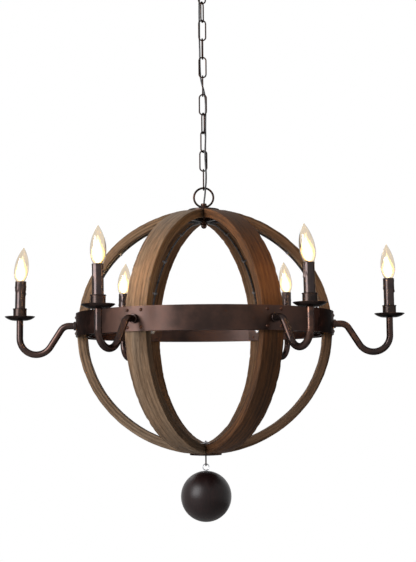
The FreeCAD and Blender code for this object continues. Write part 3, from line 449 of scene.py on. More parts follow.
@dataclass(frozen=True)
class Plated:
    """Bright plated steel or brass, slightly dulled."""

    name: str
    bright: Colour
    dull: Colour
    roughness: float = 0.3

    def material(self, effects: Effects) -> bpy.types.Material:
        """Returns the finish as a material.

        Args:
            effects: the shared shader groups.

        Returns:
            The material.
        """
        material, wiring, shader = new_material(self.name)
        spot = wiring.node("ShaderNodeTexCoord").outputs["Object"]
        patina = wiring.group(effects.patina, Place=spot, Seed=5.0, Scale=60.0)
        wiring.feed(shader.inputs["Base Color"], wiring.mix(patina.outputs["Mottle"], self.dull, self.bright))
        rough = wiring.math("MULTIPLY_ADD", patina.outputs["Mottle"], -0.1, self.roughness + 0.05)
        wiring.feed(shader.inputs["Roughness"], rough)
        wiring.feed(shader.inputs["Normal"], wiring.bump(patina.outputs["Height"], 0.06, 0.0003))
        set_shader(shader, Metallic=1.0)
        return material


@dataclass(frozen=True)
class Moulded:
    """Black sheath or moulded black plastic."""

    name: str
    base: Colour
    grey: Colour
    roughness: float
    shine: float = 0.35

    def material(self, effects: Effects) -> bpy.types.Material:
        """Returns the finish as a material.

        Args:
            effects: the shared shader groups.

        Returns:
            The material.
        """
        material, wiring, shader = new_material(self.name)
        spot = wiring.node("ShaderNodeTexCoord").outputs["Object"]
        patina = wiring.group(effects.patina, Place=spot, Seed=8.0, Scale=45.0)
        wiring.feed(shader.inputs["Base Color"], wiring.mix(patina.outputs["Mottle"], self.base, self.grey))
        rough = wiring.math("MULTIPLY_ADD", patina.outputs["Mottle"], 0.1, self.roughness)
        wiring.feed(shader.inputs["Roughness"], rough)
        wiring.feed(shader.inputs["Normal"], wiring.bump(patina.outputs["Height"], 0.08, 0.0004))
        set_shader(shader, Specular_IOR_Level=self.shine)
        return material


@dataclass(frozen=True)
class BulbGlass:
    """Thin clear glass whose colour holds painted warm light from the filament and painted shade where it is
    seen edge-on; shadows pass through.
    """

    name: str = "bulb_clear_glass"
    clear: Colour = (0.85, 0.78, 0.68)
    # Painted shade: the darker amber colour of the glass where it is seen edge-on.
    rim: Colour = (0.36, 0.3, 0.23)

    def material(self) -> bpy.types.Material:
        """Returns the glass as a material.

        Returns:
            The material.
        """
        material, wiring, shader = new_material(self.name)
        set_shader(shader, Transmission_Weight=1.0, IOR=1.45, Roughness=0.02)
        # Painted shade: the colour turns from the warm clear tint to the darker rim where the glass is seen
        # edge-on.
        turned = wiring.node("ShaderNodeLayerWeight", {"Blend": 0.5}).outputs["Facing"]
        glow_tint_and_rim_shade = wiring.mix(wiring.span(turned, 0.45, 0.95), self.clear, self.rim)
        wiring.feed(shader.inputs["Base Color"], glow_tint_and_rim_shade)
        light = wiring.node("ShaderNodeLightPath")
        passing = wiring.math("MAXIMUM", light.outputs["Is Shadow Ray"], light.outputs["Is Diffuse Ray"])
        clear = wiring.node("ShaderNodeBsdfTransparent")
        mixed = wiring.node("ShaderNodeMixShader", {0: passing, 1: shader.outputs[0], 2: clear.outputs[0]})
        wiring.feed(material.node_tree.nodes["Material Output"].inputs["Surface"], mixed.outputs[0])
        return material


@dataclass(frozen=True)
class Glow:
    """The light around a filament, as a layer of haze or as its bright heart."""

    name: str
    low: Colour
    high: Colour
    strength: float
    cover: float = 1.0

    def material(self) -> bpy.types.Material:
        """Returns the glow as a material.

        Returns:
            The material.
        """
        material, wiring, shader = new_material(self.name)
        spot = wiring.node("ShaderNodeTexCoord").outputs["Object"]
        height = wiring.node("ShaderNodeSeparateXYZ", {0: spot})
        share = wiring.span(height.outputs[2], SLEEVE_TOP + 0.02, SLEEVE_TOP + 0.062)
        colour = wiring.mix(share, self.low, self.high)
        wiring.feed(shader.inputs["Emission Color"], colour)
        wiring.feed(shader.inputs["Base Color"], colour)
        if self.cover < 1.0:
            light = wiring.node("ShaderNodeLightPath")
            passing = wiring.math("MAXIMUM", light.outputs["Is Shadow Ray"], light.outputs["Is Diffuse Ray"])
            wiring.feed(shader.inputs["Alpha"], wiring.math("MULTIPLY_ADD", passing, -self.cover, self.cover))
        set_shader(shader, Emission_Strength=self.strength, Specular_IOR_Level=0.0, Roughness=1.0)
        return material


# Mesh building -----------------------------------------------------------------------------------


def skin(name: str, rings: np.ndarray, loop: bool = False,
         board: np.ndarray | None = None) -> bpy.types.Object:
    """Joins closed rings of points with quads.

    Args:
        name: the new object's name.
        rings: points, as rings by points by three.
        loop: joins the last ring to the first instead of closing both ends with a face.
        board: each point's place on the straight board that it was bent from.

    Returns:
        The smooth mesh object.
    """
    count, around = rings.shape[:2]
    faces = []
    for row in range(count if loop else count - 1):
        here, there = row * around, (row + 1) % count * around
        for step in range(around):
            after = (step + 1) % around
            faces.append((here + step, here + after, there + after, there + step))
    if not loop:
        faces.append(tuple(reversed(range(around))))
        faces.append(tuple((count - 1) * around + step for step in range(around)))
    mesh = bpy.data.meshes.new(name)
    mesh.from_pydata(rings.reshape(-1, 3).tolist(), [], faces)
    if board is not None:
        place = mesh.attributes.new("board", "FLOAT_VECTOR", "POINT")
        place.data.foreach_set("vector", board.reshape(-1).astype(np.float32))
    work = bmesh.new()
    work.from_mesh(mesh)
    bmesh.ops.recalc_face_normals(work, faces=work.faces)
    work.to_mesh(mesh)
    work.free()
    mesh.shade_smooth()
    made = bpy.data.objects.new(name, mesh)
    bpy.context.scene.collection.objects.link(made)
    return made


def dress(piece: bpy.types.Object, material: bpy.types.Material) -> None:
    """Gives a piece one material in each of its slots.

    Args:
        piece: the piece.
        material: its finish.
    """
    if not piece.material_slots:
        piece.data.materials.append(material)
    for held in piece.material_slots:
        held.material = material


def finish_piece(piece: bpy.types.Object, material: bpy.types.Material, body: str, slot: str,
                 *replaced: str) -> bpy.types.Object:
    """Dresses a new piece and makes it ride.

    Args:
        piece: the new piece.
        material: its finish.
        body: the body that it rides on.
        slot: the material slot that its finish belongs to; not used.
        *replaced: the solids' nodes that it stands for.

    Returns:
        The piece.
    """
    dress(piece, material)
    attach(piece, body)
    if replaced:
        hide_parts(*replaced)
    LOG.info("%s rides on %s", piece.name, body)
    return piece


def turned_rings(profile: list[tuple[float, float]], around: int = 48) -> np.ndarray:
    """Returns the rings of a turned shape about the Z axis.

    Args:
        profile: each ring's radius and height.
        around: points in a ring.

    Returns:
        The rings' points.
    """
    turn = np.linspace(0.0, math.tau, around, endpoint=False)
    return np.array([[(r * math.cos(a), r * math.sin(a), z) for a in turn] for r, z in profile])


def at_candle(rings: np.ndarray, azimuth: float, foot: float, lean: float = 0.0) -> np.ndarray:
    """Stands a turned shape on the candle circle.

    Args:
        rings: the points, with their zero at the foot.
        azimuth: the candle's direction from the orb's axis.
        foot: the foot's height.
        lean: how far the shape leans towards +X, in radians.

    Returns:
        The moved points.
    """
    moved = rings.copy()
    moved[..., 0] += moved[..., 2] * math.tan(lean)
    return moved + np.array([CANDLE_CIRCLE * math.cos(azimuth), CANDLE_CIRCLE * math.sin(azimuth), foot])


# Ribs --------------------------------------------------------------------------------------------


class RibTone(Enum):
    """Each rib's dark, light and film colours."""

    GREY = ((0.034, 0.02, 0.011), (0.215, 0.135, 0.08), (0.21, 0.158, 0.112))
    BROWN = ((0.028, 0.014, 0.007), (0.185, 0.102, 0.055), (0.15, 0.1, 0.064))
    RUSSET = ((0.014, 0.006, 0.003), (0.125, 0.053, 0.021), (0.07, 0.037, 0.02))


@dataclass
class Ribs:
    """Six bent wooden ribs, each half of a flattened ring, mitred at the poles."""

    reach: float = 0.304
    half: float = 0.293
    side_radius: float = 0.283
    centre_level: float = BAND_LEVEL - 0.015
    thick: float = 0.021
    width: float = 0.056
    edge: float = 0.0022
    mitre_gap: float = 0.00015
    rod_space: float = 0.0052
    stations: int = 210
    dent_depth: float = 0.0011
    chip_depth: float = 0.0022
    dents_along: float = 26.0
    dents_across: float = 60.0
    corner_steps: int = 4
    # The two lighter, greyer tones go on the ribs at the left and front-left, and the darkest, most orange
    # one on the front-right rib.
    tones: tuple[RibTone, ...] = (
        RibTone.BROWN, RibTone.BROWN, RibTone.BROWN,
        RibTone.GREY, RibTone.GREY, RibTone.RUSSET,
    )

    def _section(self) -> np.ndarray:
        """Returns the rounded section: offset across, depth from the outer face and outward direction.

        Returns:
            One row for each point: offset across, depth, outward direction, and 1 on a corner.
        """
        half, edge = self.width / 2, self.edge
        points = []
        corners = ((half, 0.0, 0), (half, self.thick, 1), (-half, self.thick, 2), (-half, 0.0, 3))
        runs = (5, 13, 5, 13)
        for (y, t, quarter), run in zip(corners, runs):
            cy, ct = y - math.copysign(edge, y), t + (edge if t == 0 else -edge)
            start = (-math.pi / 2, 0.0, math.pi / 2, math.pi)[quarter]
            for step in range(self.corner_steps):
                angle = start + math.pi / 2 * step / (self.corner_steps - 1)
                points.append((cy + edge * math.cos(angle), ct + edge * math.sin(angle), math.cos(angle),
                               math.sin(angle), 1.0))
            ny, nt = ((1, 0), (0, 1), (-1, 0), (0, -1))[quarter]
            ty, tt = ((0, 1), (-1, 0), (0, -1), (1, 0))[quarter]
            flat = (self.thick if quarter % 2 == 0 else self.width) - 2 * edge
            sy, st = cy + ny * edge, ct + nt * edge
            for step in range(1, run):
                share = step / run
                points.append((sy + ty * flat * share, st + tt * flat * share, ny, nt, 0.0))
        return np.array(points)

    def _line(self) -> tuple[np.ndarray, np.ndarray, np.ndarray, np.ndarray]:
        """Returns each station's arc centre, outer radius, outward angle and length along the rib.

        Returns:
            The arc centres, the outer radii, the outward angles and the lengths.
        """
        side_centre = self.reach - self.side_radius
        spare = self.side_radius ** 2 - self.half ** 2 - side_centre ** 2
        top_radius = spare / (2 * (self.side_radius - self.half))
        offset = top_radius - self.half
        joint = math.atan2(offset, side_centre)
        last = math.acos(self.rod_space / (top_radius - self.thick))
        angle = np.linspace(last, -last, self.stations)
        side = np.abs(angle) <= joint
        radius = np.where(side, self.side_radius, top_radius)
        centre_rise = np.where(side, 0.0, -np.sign(angle) * offset)
        centre = np.stack([np.where(side, side_centre, 0.0), centre_rise], 1)
        along = np.concatenate([[0.0], np.cumsum((radius[1:] - self.thick / 2) * -np.diff(angle))])
        return centre, radius, angle, along

    def _build(self, number: int) -> bpy.types.Object:
        """Returns one rib, with small dents and chipped edges.

        Args:
            number: the rib's place, counted from 0 at the right.

        Returns:
            The rib's mesh object.
        """
        section = self._section()
        centre, radius, angle, along = self._line()
        slope = math.tan(math.pi / RIB_COUNT)
        azimuth = AZIMUTHS[number]
        rings = np.zeros((len(angle), len(section), 3))
        board = np.zeros_like(rings)
        for row in range(len(angle)):
            outward = (math.cos(angle[row]), math.sin(angle[row]))
            for column, (y, t, out_y, out_t, corner) in enumerate(section):
                spot = Vector((along[row] * self.dents_along, y * self.dents_across,
                               t * self.dents_across + number * 9.0))
                dent = max(0.0, noise.noise(spot) - 0.12) * self.dent_depth
                chip_noise = noise.noise(spot * 2.3 + Vector((4.0, 0.0, 0.0)))
                chip = corner * max(0.0, chip_noise - 0.05) * self.chip_depth
                inward = dent + chip
                y_now, t_now = y - out_y * inward, t - out_t * inward
                reach = radius[row] - t_now
                x = centre[row][0] + reach * outward[0]
                z = centre[row][1] + reach * outward[1]
                limit = max(0.0004, (x - 2 * self.mitre_gap) * slope)
                y_now *= min(1.0, limit / (self.width / 2))
                rings[row, column] = (x, y_now, z + self.centre_level)
                board[row, column] = (along[row], y, t)
        turn = np.array(Matrix.Rotation(azimuth, 3, "Z"))
        return skin(f"wood_rib_{number + 1}", rings @ turn.T, board=board)

    def build(self, effects: Effects) -> None:
        """Builds and dresses all ribs."""
        for number in range(RIB_COUNT):
            dark, light, film = self.tones[number].value
            wood = Wood(f"rib_wood_{number + 1}", dark, light, film, seed=2.0 + 5.3 * number)
            rib = self._build(number)
            finish_piece(rib, wood.material(effects), "orb", "stained_wood", f"rib_{number + 1}")


# Candles -----------------------------------------------------------------------------------------


@dataclass
class Candles:
    """Sleeves with moulded drips and the lit bulbs in them, one at each rib."""

    sleeve_radius: float = 0.01235
    sleeve_wall: float = 0.00115
    sleeve_length: float = 0.0888
    bulb_radius: float = 0.0175
    neck_radius: float = 0.0075
    neck_depth: float = 0.005
    waist: float = 0.028
    tip_radius: float = 0.0024
    tip_rise: float = 0.080
    glass_wall: float = 0.0006
    base_radius: float = 0.0059
    base_depth: float = 0.030
    thread_pitch: float = 0.0036
    thread_depth: float = 0.0004
    sleeve_around: int = 72
    sleeve_rows: int = 74
    leans: tuple[float, ...] = (-3.0, -5.0, 5.0, 6.0, 0.0, -7.0)
    sleeve_leans: tuple[float, ...] = (-0.6, -0.5, 0.8, 1.0, -0.6, -0.9)

    def _sleeve(self, number: int) -> bpy.types.Object:
        """Returns a sleeve whose outside carries a few runs of moulded wax.

        Args:
            number: the candle's place, counted from 0 at the right.

        Returns:
            The sleeve's mesh object.
        """
        draws = random.Random(40 + number)
        towards = (-0.2, 2.6, 3.5)[number % 3]
        drips = [(draws.uniform(0.0, math.tau), draws.uniform(0.006, 0.03), draws.uniform(0.13, 0.24),
                  draws.uniform(0.0009, 0.0016)) for _ in range(7)]
        drips.append((towards, 0.034, 0.2, 0.0019))
        drips.append((towards - 0.55, 0.019, 0.17, 0.0015))
        turn = np.linspace(0.0, math.tau, self.sleeve_around, endpoint=False)
        rings = []
        for level in np.linspace(0.0, self.sleeve_length, self.sleeve_rows):
            below = self.sleeve_length - level
            ring = []
            for angle in turn:
                swell = 0.0005 * math.exp(-below / 0.003)
                for centre, length, spread, lift in drips:
                    gap = (angle - centre + math.pi) % math.tau - math.pi
                    belly = 0.65 + 0.6 * math.exp(-((below - length + 0.003) / 0.003) ** 2)
                    end = 1.0 / (1.0 + math.exp((below - length) / 0.0007))
                    swell = max(swell, lift * belly * end * math.exp(-(gap / spread) ** 2))
                radius = self.sleeve_radius + swell
                ring.append((radius * math.cos(angle), radius * math.sin(angle), level))
            rings.append(ring)
        inner = self.sleeve_radius - self.sleeve_wall
        rim = ((self.sleeve_radius - 0.0003, self.sleeve_length), (inner, self.sleeve_length - 0.0004),
               (inner, self.sleeve_length * 0.5), (inner, 0.0))
        for radius, level in rim:
            rings.append([(radius * math.cos(a), radius * math.sin(a), level) for a in turn])
        lean = math.radians(self.sleeve_leans[number])
        placed = at_candle(np.array(rings), AZIMUTHS[number], SLEEVE_FOOT, lean)
        return skin(f"drip_sleeve_{number + 1}", placed, loop=True)

    def _glass_profile(self, inset: float) -> list[tuple[float, float]]:
        """Returns the bulb's outline from its neck to its tip, offset inwards.

        Args:
            inset: how far inwards.

        Returns:
            Each ring's radius and height over the sleeve's top.
        """
        swell, below = self.bulb_radius - self.neck_radius, self.waist + self.neck_depth
        taper, above = self.bulb_radius - self.tip_radius, self.tip_rise - self.waist
        lower = (swell ** 2 + below ** 2) / (2 * swell)
        upper = (taper ** 2 + above ** 2) / (2 * taper)
        points = []
        for share in np.linspace(0.0, 1.0, 16):
            z = -self.neck_depth + below * share
            points.append((self.bulb_radius - lower + math.sqrt(lower ** 2 - (z - self.waist) ** 2), z))
        for share in np.linspace(0.04, 1.0, 26):
            z = self.waist + above * share
            points.append((self.bulb_radius - upper + math.sqrt(upper ** 2 - (z - self.waist) ** 2), z))
        for share in (0.35, 0.65, 0.88, 0.97):
            angle = share * math.pi / 2
            rise = self.tip_rise + self.tip_radius * math.sin(angle)
            points.append((self.tip_radius * math.cos(angle), rise))
        top = self.tip_rise + self.tip_radius
        return [(max(r - inset, 0.00012), min(z, top - inset)) for r, z in points]

    def _glass(self, number: int, lean: float) -> bpy.types.Object:
        """Returns the bulb's glass as a thin closed shell.

        Args:
            number: the candle's place.
            lean: the glass's lean in radians.

        Returns:
            The glass's mesh object.
        """
        outer = self._glass_profile(0.0)
        inner = self._glass_profile(self.glass_wall)
        rings = turned_rings([*reversed(inner), *outer], 56)
        return skin(f"bulb_glass_{number + 1}", at_candle(rings, AZIMUTHS[number], SLEEVE_TOP, lean))

    def _heart(self, number: int, lean: float, girth: float, rise: float, name: str) -> bpy.types.Object:
        """Returns a flame-shaped body of light inside the glass.

        Args:
            number: the candle's place.
            lean: the glass's lean in radians.
            girth: the body's largest radius.
            rise: its height.
            name: the start of its name.

        Returns:
            The body's mesh object.
        """
        shape = ((0.02, 0.0), (0.5, 0.05), (0.82, 0.14), (1.0, 0.29), (0.97, 0.4), (0.8, 0.53), (0.55, 0.66),
                 (0.33, 0.77), (0.18, 0.87), (0.08, 0.95), (0.02, 1.0))
        profile = [(girth * r, 0.002 + rise * z) for r, z in shape]
        rings = turned_rings(profile, 32)
        return skin(f"{name}_{number + 1}", at_candle(rings, AZIMUTHS[number], SLEEVE_TOP, lean))

    def _base(self, number: int) -> bpy.types.Object:
        """Returns the brass screw base with its thread and foot contact.

        Args:
            number: the candle's place.

        Returns:
            The base's mesh object.
        """
        turn = np.linspace(0.0, math.tau, 40, endpoint=False)
        rings = []
        for radius, level in ((0.0012, 0.0), (0.0026, 0.0004), (0.0034, 0.0022), (0.0050, 0.0030)):
            height = level - self.base_depth
            rings.append([(radius * math.cos(a), radius * math.sin(a), height) for a in turn])
        for level in np.linspace(-self.base_depth + 0.004, -0.0065, 44):
            ring = []
            for angle in turn:
                wave = math.sin(math.tau * level / self.thread_pitch - angle)
                radius = self.base_radius - 0.0005 + self.thread_depth * wave
                ring.append((radius * math.cos(angle), radius * math.sin(angle), level))
            rings.append(ring)
        for radius, level in ((0.0058, -0.0058), (0.0069, -0.0052), (0.0074, -0.0044), (0.0074, -0.0036)):
            rings.append([(radius * math.cos(a), radius * math.sin(a), level) for a in turn])
        placed = at_candle(np.array(rings), AZIMUTHS[number], SLEEVE_TOP, 0.0)
        return skin(f"bulb_base_{number + 1}", placed)

    def build(self, effects: Effects) -> None:
        """Builds and dresses all candles."""
        bronze = Bronze("sleeve_bronze", dark=(0.036, 0.029, 0.029), brown=(0.052, 0.038, 0.035),
                        copper_share=0.06, wear=0.2, roughness=0.22, scale=30.0, seed=6.0)
        sleeve_finish = bronze.material(effects)
        glass = BulbGlass().material()
        heart = Glow("bulb_heart", (1.0, 0.64, 0.3), (1.0, 0.62, 0.28), 260.0).material()
        haze = Glow("bulb_haze", (1.0, 0.9, 0.66), (1.0, 0.88, 0.62), 1.25, 0.6).material()
        veil = Glow("bulb_veil", (1.0, 0.7, 0.32), (1.0, 0.84, 0.56), 0.9, 0.3).material()
        brass = Plated("base_brass", (0.75, 0.53, 0.24), (0.42, 0.27, 0.1)).material(effects)
        layers = ((0.0084, 0.050, heart, "bulb_heart"), (0.0118, 0.053, haze, "bulb_haze"),
                  (0.0146, 0.0600, veil, "bulb_veil"))
        for number in range(RIB_COUNT):
            lamp = f"lamp_{number + 1}"
            lean = math.radians(self.leans[number])
            finish_piece(self._sleeve(number), sleeve_finish, "orb", "candle_sleeve", "candle_sleeves")
            finish_piece(self._glass(number, lean), glass, lamp, "bulb_glass", f"bulb_{number + 1}")
            for girth, rise, finish, name in layers:
                finish_piece(self._heart(number, lean, girth, rise, name), finish, lamp, "bulb_glass")
            finish_piece(self._base(number), brass, lamp, "bulb_glass")


# Chain and cord ----------------------------------------------------------------------------------


@dataclass
class SupplyCord:
    """The cord that is woven along the chain from the canopy into the hub."""

    radius: float = 0.0021
    first_link: float = -0.0824
    pitch: float = 0.0464
    link_count: int = 11
    around: int = 14
    stops: tuple[tuple[int, float, float, float], ...] = (
        (1, 8, -6.2, 4.6), (1, -12, -6.6, 4.8), (2, 12, -7.2, 3.0), (2, -12, -7.3, 3.9),
        (3, 12, -7.1, 4.6), (3, -12, -7.3, 4.4), (4, 11, -6.8, 3.6), (4, -12, -6.4, 4.4),
        (5, 12, -6.7, 4.7), (5, -12, -6.0, 4.5), (6, 20, -4.9, 4.1), (6, 4, -1.5, 3.7),
        (6, -10, 2.6, 3.6), (7, 22, 5.4, 4.2), (7, 4, 6.8, 4.6), (7, -14, 6.9, 4.4),
        (8, 12, 6.2, 3.0), (8, -12, 5.8, 1.0), (9, 12, 6.1, -1.6), (9, -12, 5.0, -4.8),
        (10, 12, 4.2, -5.6), (10, -12, 5.4, -5.8), (11, 13, 6.7, -4.6), (11, -11, 6.0, -3.6),
    )

    def middle(self, link: int) -> float:
        """Returns the height of a link's middle, counted from 1 at the top."""
        return self.first_link - self.pitch * (link - 1)

    def _route(self) -> list[Vector]:
        """Returns the route's points.

        Returns:
            Points from the ceiling down into the hub.
        """
        points = [Vector((0.0, 0.0, 0.0)), Vector((0.0, 0.0, -0.042)), Vector((-0.0056, 0.0038, -0.060))]
        for link, above, x, y in self.stops:
            points.append(Vector((x / 1000, y / 1000, self.middle(link) + above / 1000)))
        points += [Vector((0.0044, -0.0056, -0.56775)), Vector((0.0032, -0.0036, -0.58575)),
                   Vector((0.0, 0.0, -0.60575)), Vector((0.0, 0.0, -0.6532))]
        return points

    def _line(self) -> list[Vector]:
        """Returns points read from the smooth spline through the route.

        Returns:
            Points from the top down.
        """
        curve = bpy.data.curves.new("supply_cord_route", "CURVE")
        curve.dimensions = "3D"
        curve.resolution_u = 12
        route = self._route()
        spline = curve.splines.new("NURBS")
        spline.points.add(len(route) - 1)
        for point, place in zip(spline.points, route):
            point.co = (*place, 1.0)
        spline.order_u = 3
        spline.use_endpoint_u = True
        holder = bpy.data.objects.new("supply_cord_route", curve)
        mesh = bpy.data.meshes.new_from_object(holder)
        line = [vertex.co.copy() for vertex in mesh.vertices]
        bpy.data.objects.remove(holder)
        bpy.data.meshes.remove(mesh)
        bpy.data.curves.remove(curve)
        return line if line[0].z > line[-1].z else line[::-1]

    def _rings(self, line: list[Vector]) -> np.ndarray:
        """Returns the tube's rings, carried along the line without twist.

        Args:
            line: the cord's middle line.

        Returns:
            The rings' points.
        """
        rings = []
        side = Vector((1.0, 0.0, 0.0))
        for number, point in enumerate(line):
            ahead = (line[min(number + 1, len(line) - 1)] - line[max(number - 1, 0)]).normalized()
            side = (side - ahead * side.dot(ahead)).normalized()
            across = ahead.cross(side)
            rings.append([point + (side * math.cos(a) + across * math.sin(a)) * self.radius
                          for a in np.linspace(0.0, math.tau, self.around, endpoint=False)])
        return np.array(rings)

    def build(self, finish: bpy.types.Material) -> None:
        """Builds the cord in stretches cut at the chain's hinges; a stretch within one body rides on it, and
        the others stay in place.

        Args:
            finish: the cord's material.
        """
        rings = self._rings(self._line())
        levels = rings[:, :, 2].mean(1)
        cuts = [0.1, self.middle(1), self.middle(2), self.middle(10), self.middle(11), -1.0]
        ends = (("ceiling_fixture", "link_1"), ("link_1", "chain"), ("chain", "chain"), ("chain", "link_11"),
                ("link_11", "orb"))
        spans = ((-0.050, -0.078), (-0.092, -0.122), (0.0, 0.0), (-0.511, -0.540), (-0.557, -0.592))
        for number, ((upper, lower), (start, end)) in enumerate(zip(ends, spans), start=1):
            inside = np.flatnonzero((levels <= cuts[number - 1]) & (levels >= cuts[number]))
            chosen = rings[max(inside[0] - 1, 0):inside[-1] + 1]
            piece = skin(f"supply_cord_{number}", chosen)
            dress(piece, finish)
            if upper == lower:
                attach(piece, upper)
            else:
                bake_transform(piece)
            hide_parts("supply_cord")
            LOG.info("%s bends between %s and %s", piece.name, upper, lower)


# Metalwork ---------------------------------------------------------------------------------------


@dataclass
class Metalwork:
    """The finishes of the solids whose shape already is the real one."""

    nodes: dict

    def _dress(self, material: bpy.types.Material, *names: str) -> None:
        """Gives the named nodes a finish.

        Args:
            material: the finish.
            *names: the nodes' names.
        """
        for name in names:
            dress(self.nodes[name], material)
            LOG.info("%s gets %s", name, material.name)

    def build(self, effects: Effects) -> None:
        """Dresses every solid that stays."""
        each = range(1, RIB_COUNT + 1)
        bronze = Bronze("dark_bronze", seed=1.0)
        arms = Bronze("arm_bronze", dark=(0.03, 0.023, 0.022), brown=(0.05, 0.03, 0.025), copper_share=0.3,
                      wear=0.35, roughness=0.22, scale=9.0,
                      seed=2.4)
        cups = Bronze("cup_bronze", dark=(0.02, 0.016, 0.0155), brown=(0.034, 0.024, 0.021), copper_share=0.1,
                      roughness=0.26, seed=3.0)
        bands = Bronze("band_bronze", dark=(0.03, 0.02, 0.0175), brown=(0.05, 0.029, 0.0235),
                       copper_share=0.05,
                       wear=0.3, roughness=0.36, metallic=0.95, scale=7.0, seed=4.0)
        rivets = Bronze("rivet_copper", dark=(0.025, 0.013, 0.01), brown=(0.06, 0.028, 0.019),
                        copper_share=0.6,
                        wear=0.6, roughness=0.3, scale=90.0, seed=5.0)
        chain = Bronze("chain_bronze", dark=(0.01, 0.0075, 0.007), brown=(0.028, 0.017, 0.014),
                       copper_share=0.2,
                       wear=0.3, roughness=0.3, scale=40.0, seed=7.0)
        zinc = Plated("zinc_plate", (0.62, 0.63, 0.65), (0.3, 0.3, 0.32))
        nickel = Plated("clip_nickel", (0.2, 0.2, 0.21), (0.08, 0.08, 0.085), 0.4)
        cable = Moulded("cable_black", (0.006, 0.006, 0.007), (0.018, 0.018, 0.02), 0.25)
        socket = Moulded("socket_black", (0.012, 0.012, 0.012), (0.03, 0.029, 0.028), 0.5, 0.2)
        self._dress(bronze.material(effects), "canopy_shell", "canopy_loop", "top_cap", "bottom_cap",
                    "hub_plate", "bottom_plate", "hub_finial", "ball_hook")
        self._dress(arms.material(effects), *[f"arm_tube_{number}" for number in each], "arm_collars")
        self._dress(cups.material(effects), "drip_pans", "candle_cups")
        self._dress(bands.material(effects), "outer_band", "inner_band")
        self._dress(rivets.material(effects), "band_rivets")
        links = [f"chain_link_{number:02d}" for number in range(1, 12)]
        self._dress(chain.material(effects), *links, "hanging_loop")
        self._dress(zinc.material(effects), "canopy_crossbar", "canopy_nipple", "canopy_locknut",
                    "hub_nipple", "hook_nut", "arm_nipples", "candle_nipples", "ball_eye")
        self._dress(nickel.material(effects), "wire_clips", "arm_nuts")
        self._dress(cable.material(effects), "rib_wires")
        self._dress(socket.material(effects), "lamp_sockets")
        self._dress(BallWood().material(effects), "ball")


# Stage -------------------------------------------------------------------------------------------


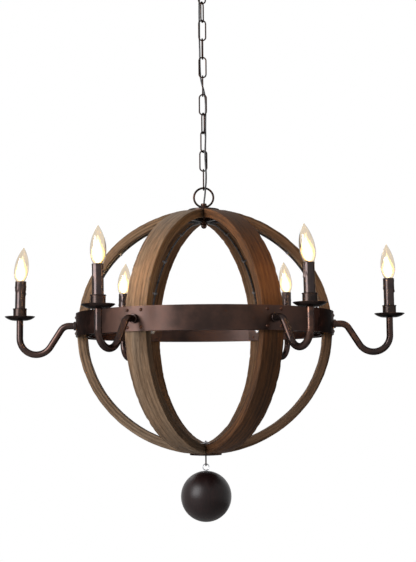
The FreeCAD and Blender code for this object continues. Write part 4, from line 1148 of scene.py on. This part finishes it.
@dataclass
class Stage:
    """Floor, light, background and camera."""

    floor_level: float = -2.0
    floor_radius: float = 2.4
    centre: tuple[float, float, float] = (0.0, 0.0, -0.93)
    eye: tuple[float, float, float] = (0.00875, -2.990, -1.07085)
    pitch: float = 0.0925
    roll: float = -0.009
    lens: float = 107.74

    def _lamp(self, name: str, side: float, rise: float, away: float, size: tuple[float, float], power: float,
              colour: Colour) -> None:
        """Adds a broad soft lamp that faces the orb.

        Args:
            name: the lamp's name.
            side: its direction to the left of the camera, in degrees.
            rise: its elevation, in degrees.
            away: its distance.
            size: its width and height.
            power: its power in watts.
            colour: its colour.
        """
        light = bpy.data.lights.new(name, "AREA")
        light.shape = "RECTANGLE"
        light.size, light.size_y = size
        light.energy = power
        light.color = colour
        lamp = bpy.data.objects.new(name, light)
        turn, lift = math.radians(side), math.radians(rise)
        towards = Vector((-math.sin(turn) * math.cos(lift), -math.cos(turn) * math.cos(lift), math.sin(lift)))
        lamp.location = Vector(self.centre) + towards * away
        lamp.rotation_euler = towards.to_track_quat("Z", "Y").to_euler()
        bpy.context.scene.collection.objects.link(lamp)

    def _floor(self) -> None:
        """Adds a round pale floor."""
        mesh = bpy.data.meshes.new("floor")
        work = bmesh.new()
        bmesh.ops.create_circle(work, cap_ends=True, segments=96, radius=self.floor_radius)
        bmesh.ops.translate(work, verts=work.verts, vec=(0.0, 0.0, self.floor_level))
        work.to_mesh(mesh)
        work.free()
        floor = bpy.data.objects.new("floor", mesh)
        bpy.context.scene.collection.objects.link(floor)
        material, wiring, shader = new_material("floor_pale")
        spot = wiring.node("ShaderNodeTexCoord").outputs["Object"]
        wiring.feed(shader.inputs["Base Color"], wiring.mix(wiring.speckle(spot, 1.0, 3.0), (0.8, 0.8, 0.8),
                                                            (0.84, 0.84, 0.83)))
        set_shader(shader, Roughness=0.9, Specular_IOR_Level=0.1)
        dress(floor, material)

    def _world(self) -> None:
        """Makes the background white to the eye and in reflections, and a soft fill elsewhere."""
        world = bpy.data.worlds.new("studio")
        world.use_nodes = True
        bpy.context.scene.world = world
        wiring = Wiring(world.node_tree)
        light = wiring.node("ShaderNodeLightPath")
        seen = wiring.math("MAXIMUM", light.outputs["Is Camera Ray"], light.outputs["Is Glossy Ray"])
        seen = wiring.math("MAXIMUM", seen, light.outputs["Is Transmission Ray"])
        strength = wiring.math("MULTIPLY_ADD", seen, 0.94, 0.06)
        background = world.node_tree.nodes["Background"]
        background.inputs["Color"].default_value = (1.0, 1.0, 1.0, 1.0)
        wiring.feed(background.inputs["Strength"], strength)

    def _camera(self) -> None:
        """Adds the camera at the photograph's place."""
        data = bpy.data.cameras.new("view")
        data.sensor_fit = "HORIZONTAL"
        data.sensor_width = 36.0
        data.lens = self.lens
        data.clip_end = 50.0
        camera = bpy.data.objects.new("view", data)
        forward = Vector((0.0, math.cos(self.pitch), math.sin(self.pitch)))
        up = Vector((0.0, -math.sin(self.pitch), math.cos(self.pitch)))
        across = Vector((1.0, 0.0, 0.0))
        right = across * math.cos(self.roll) + up * math.sin(self.roll)
        above = up * math.cos(self.roll) - across * math.sin(self.roll)
        turn = Matrix((right, above, -forward)).transposed()
        camera.matrix_world = Matrix.Translation(self.eye) @ turn.to_4x4()
        bpy.context.scene.collection.objects.link(camera)
        bpy.context.scene.camera = camera

    def build(self) -> None:
        """Sets the stage."""
        scene = bpy.context.scene
        scene.view_settings.view_transform = "Standard"
        self._camera()
        self._floor()
        self._world()
        self._lamp("key_lamp", 49.0, 17.0, 2.7, (1.7, 1.9), 135.0, (0.97, 0.98, 1.0))
        self._lamp("rear_lamp", 150.0, 35.0, 3.0, (1.4, 1.4), 14.0, (1.0, 1.0, 1.0))


def main() -> None:
    """Loads the solids and builds the looks around them."""
    logging.basicConfig(level=logging.INFO, format="%(message)s")
    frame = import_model()
    Stage().build()
    effects = Effects()
    Metalwork(frame["nodes"]).build(effects)
    cord_finish = frame["nodes"]["rib_wires"].material_slots[0].material
    SupplyCord().build(cord_finish)
    Ribs().build(effects)
    Candles().build(effects)


if __name__ == "__main__":
    main()
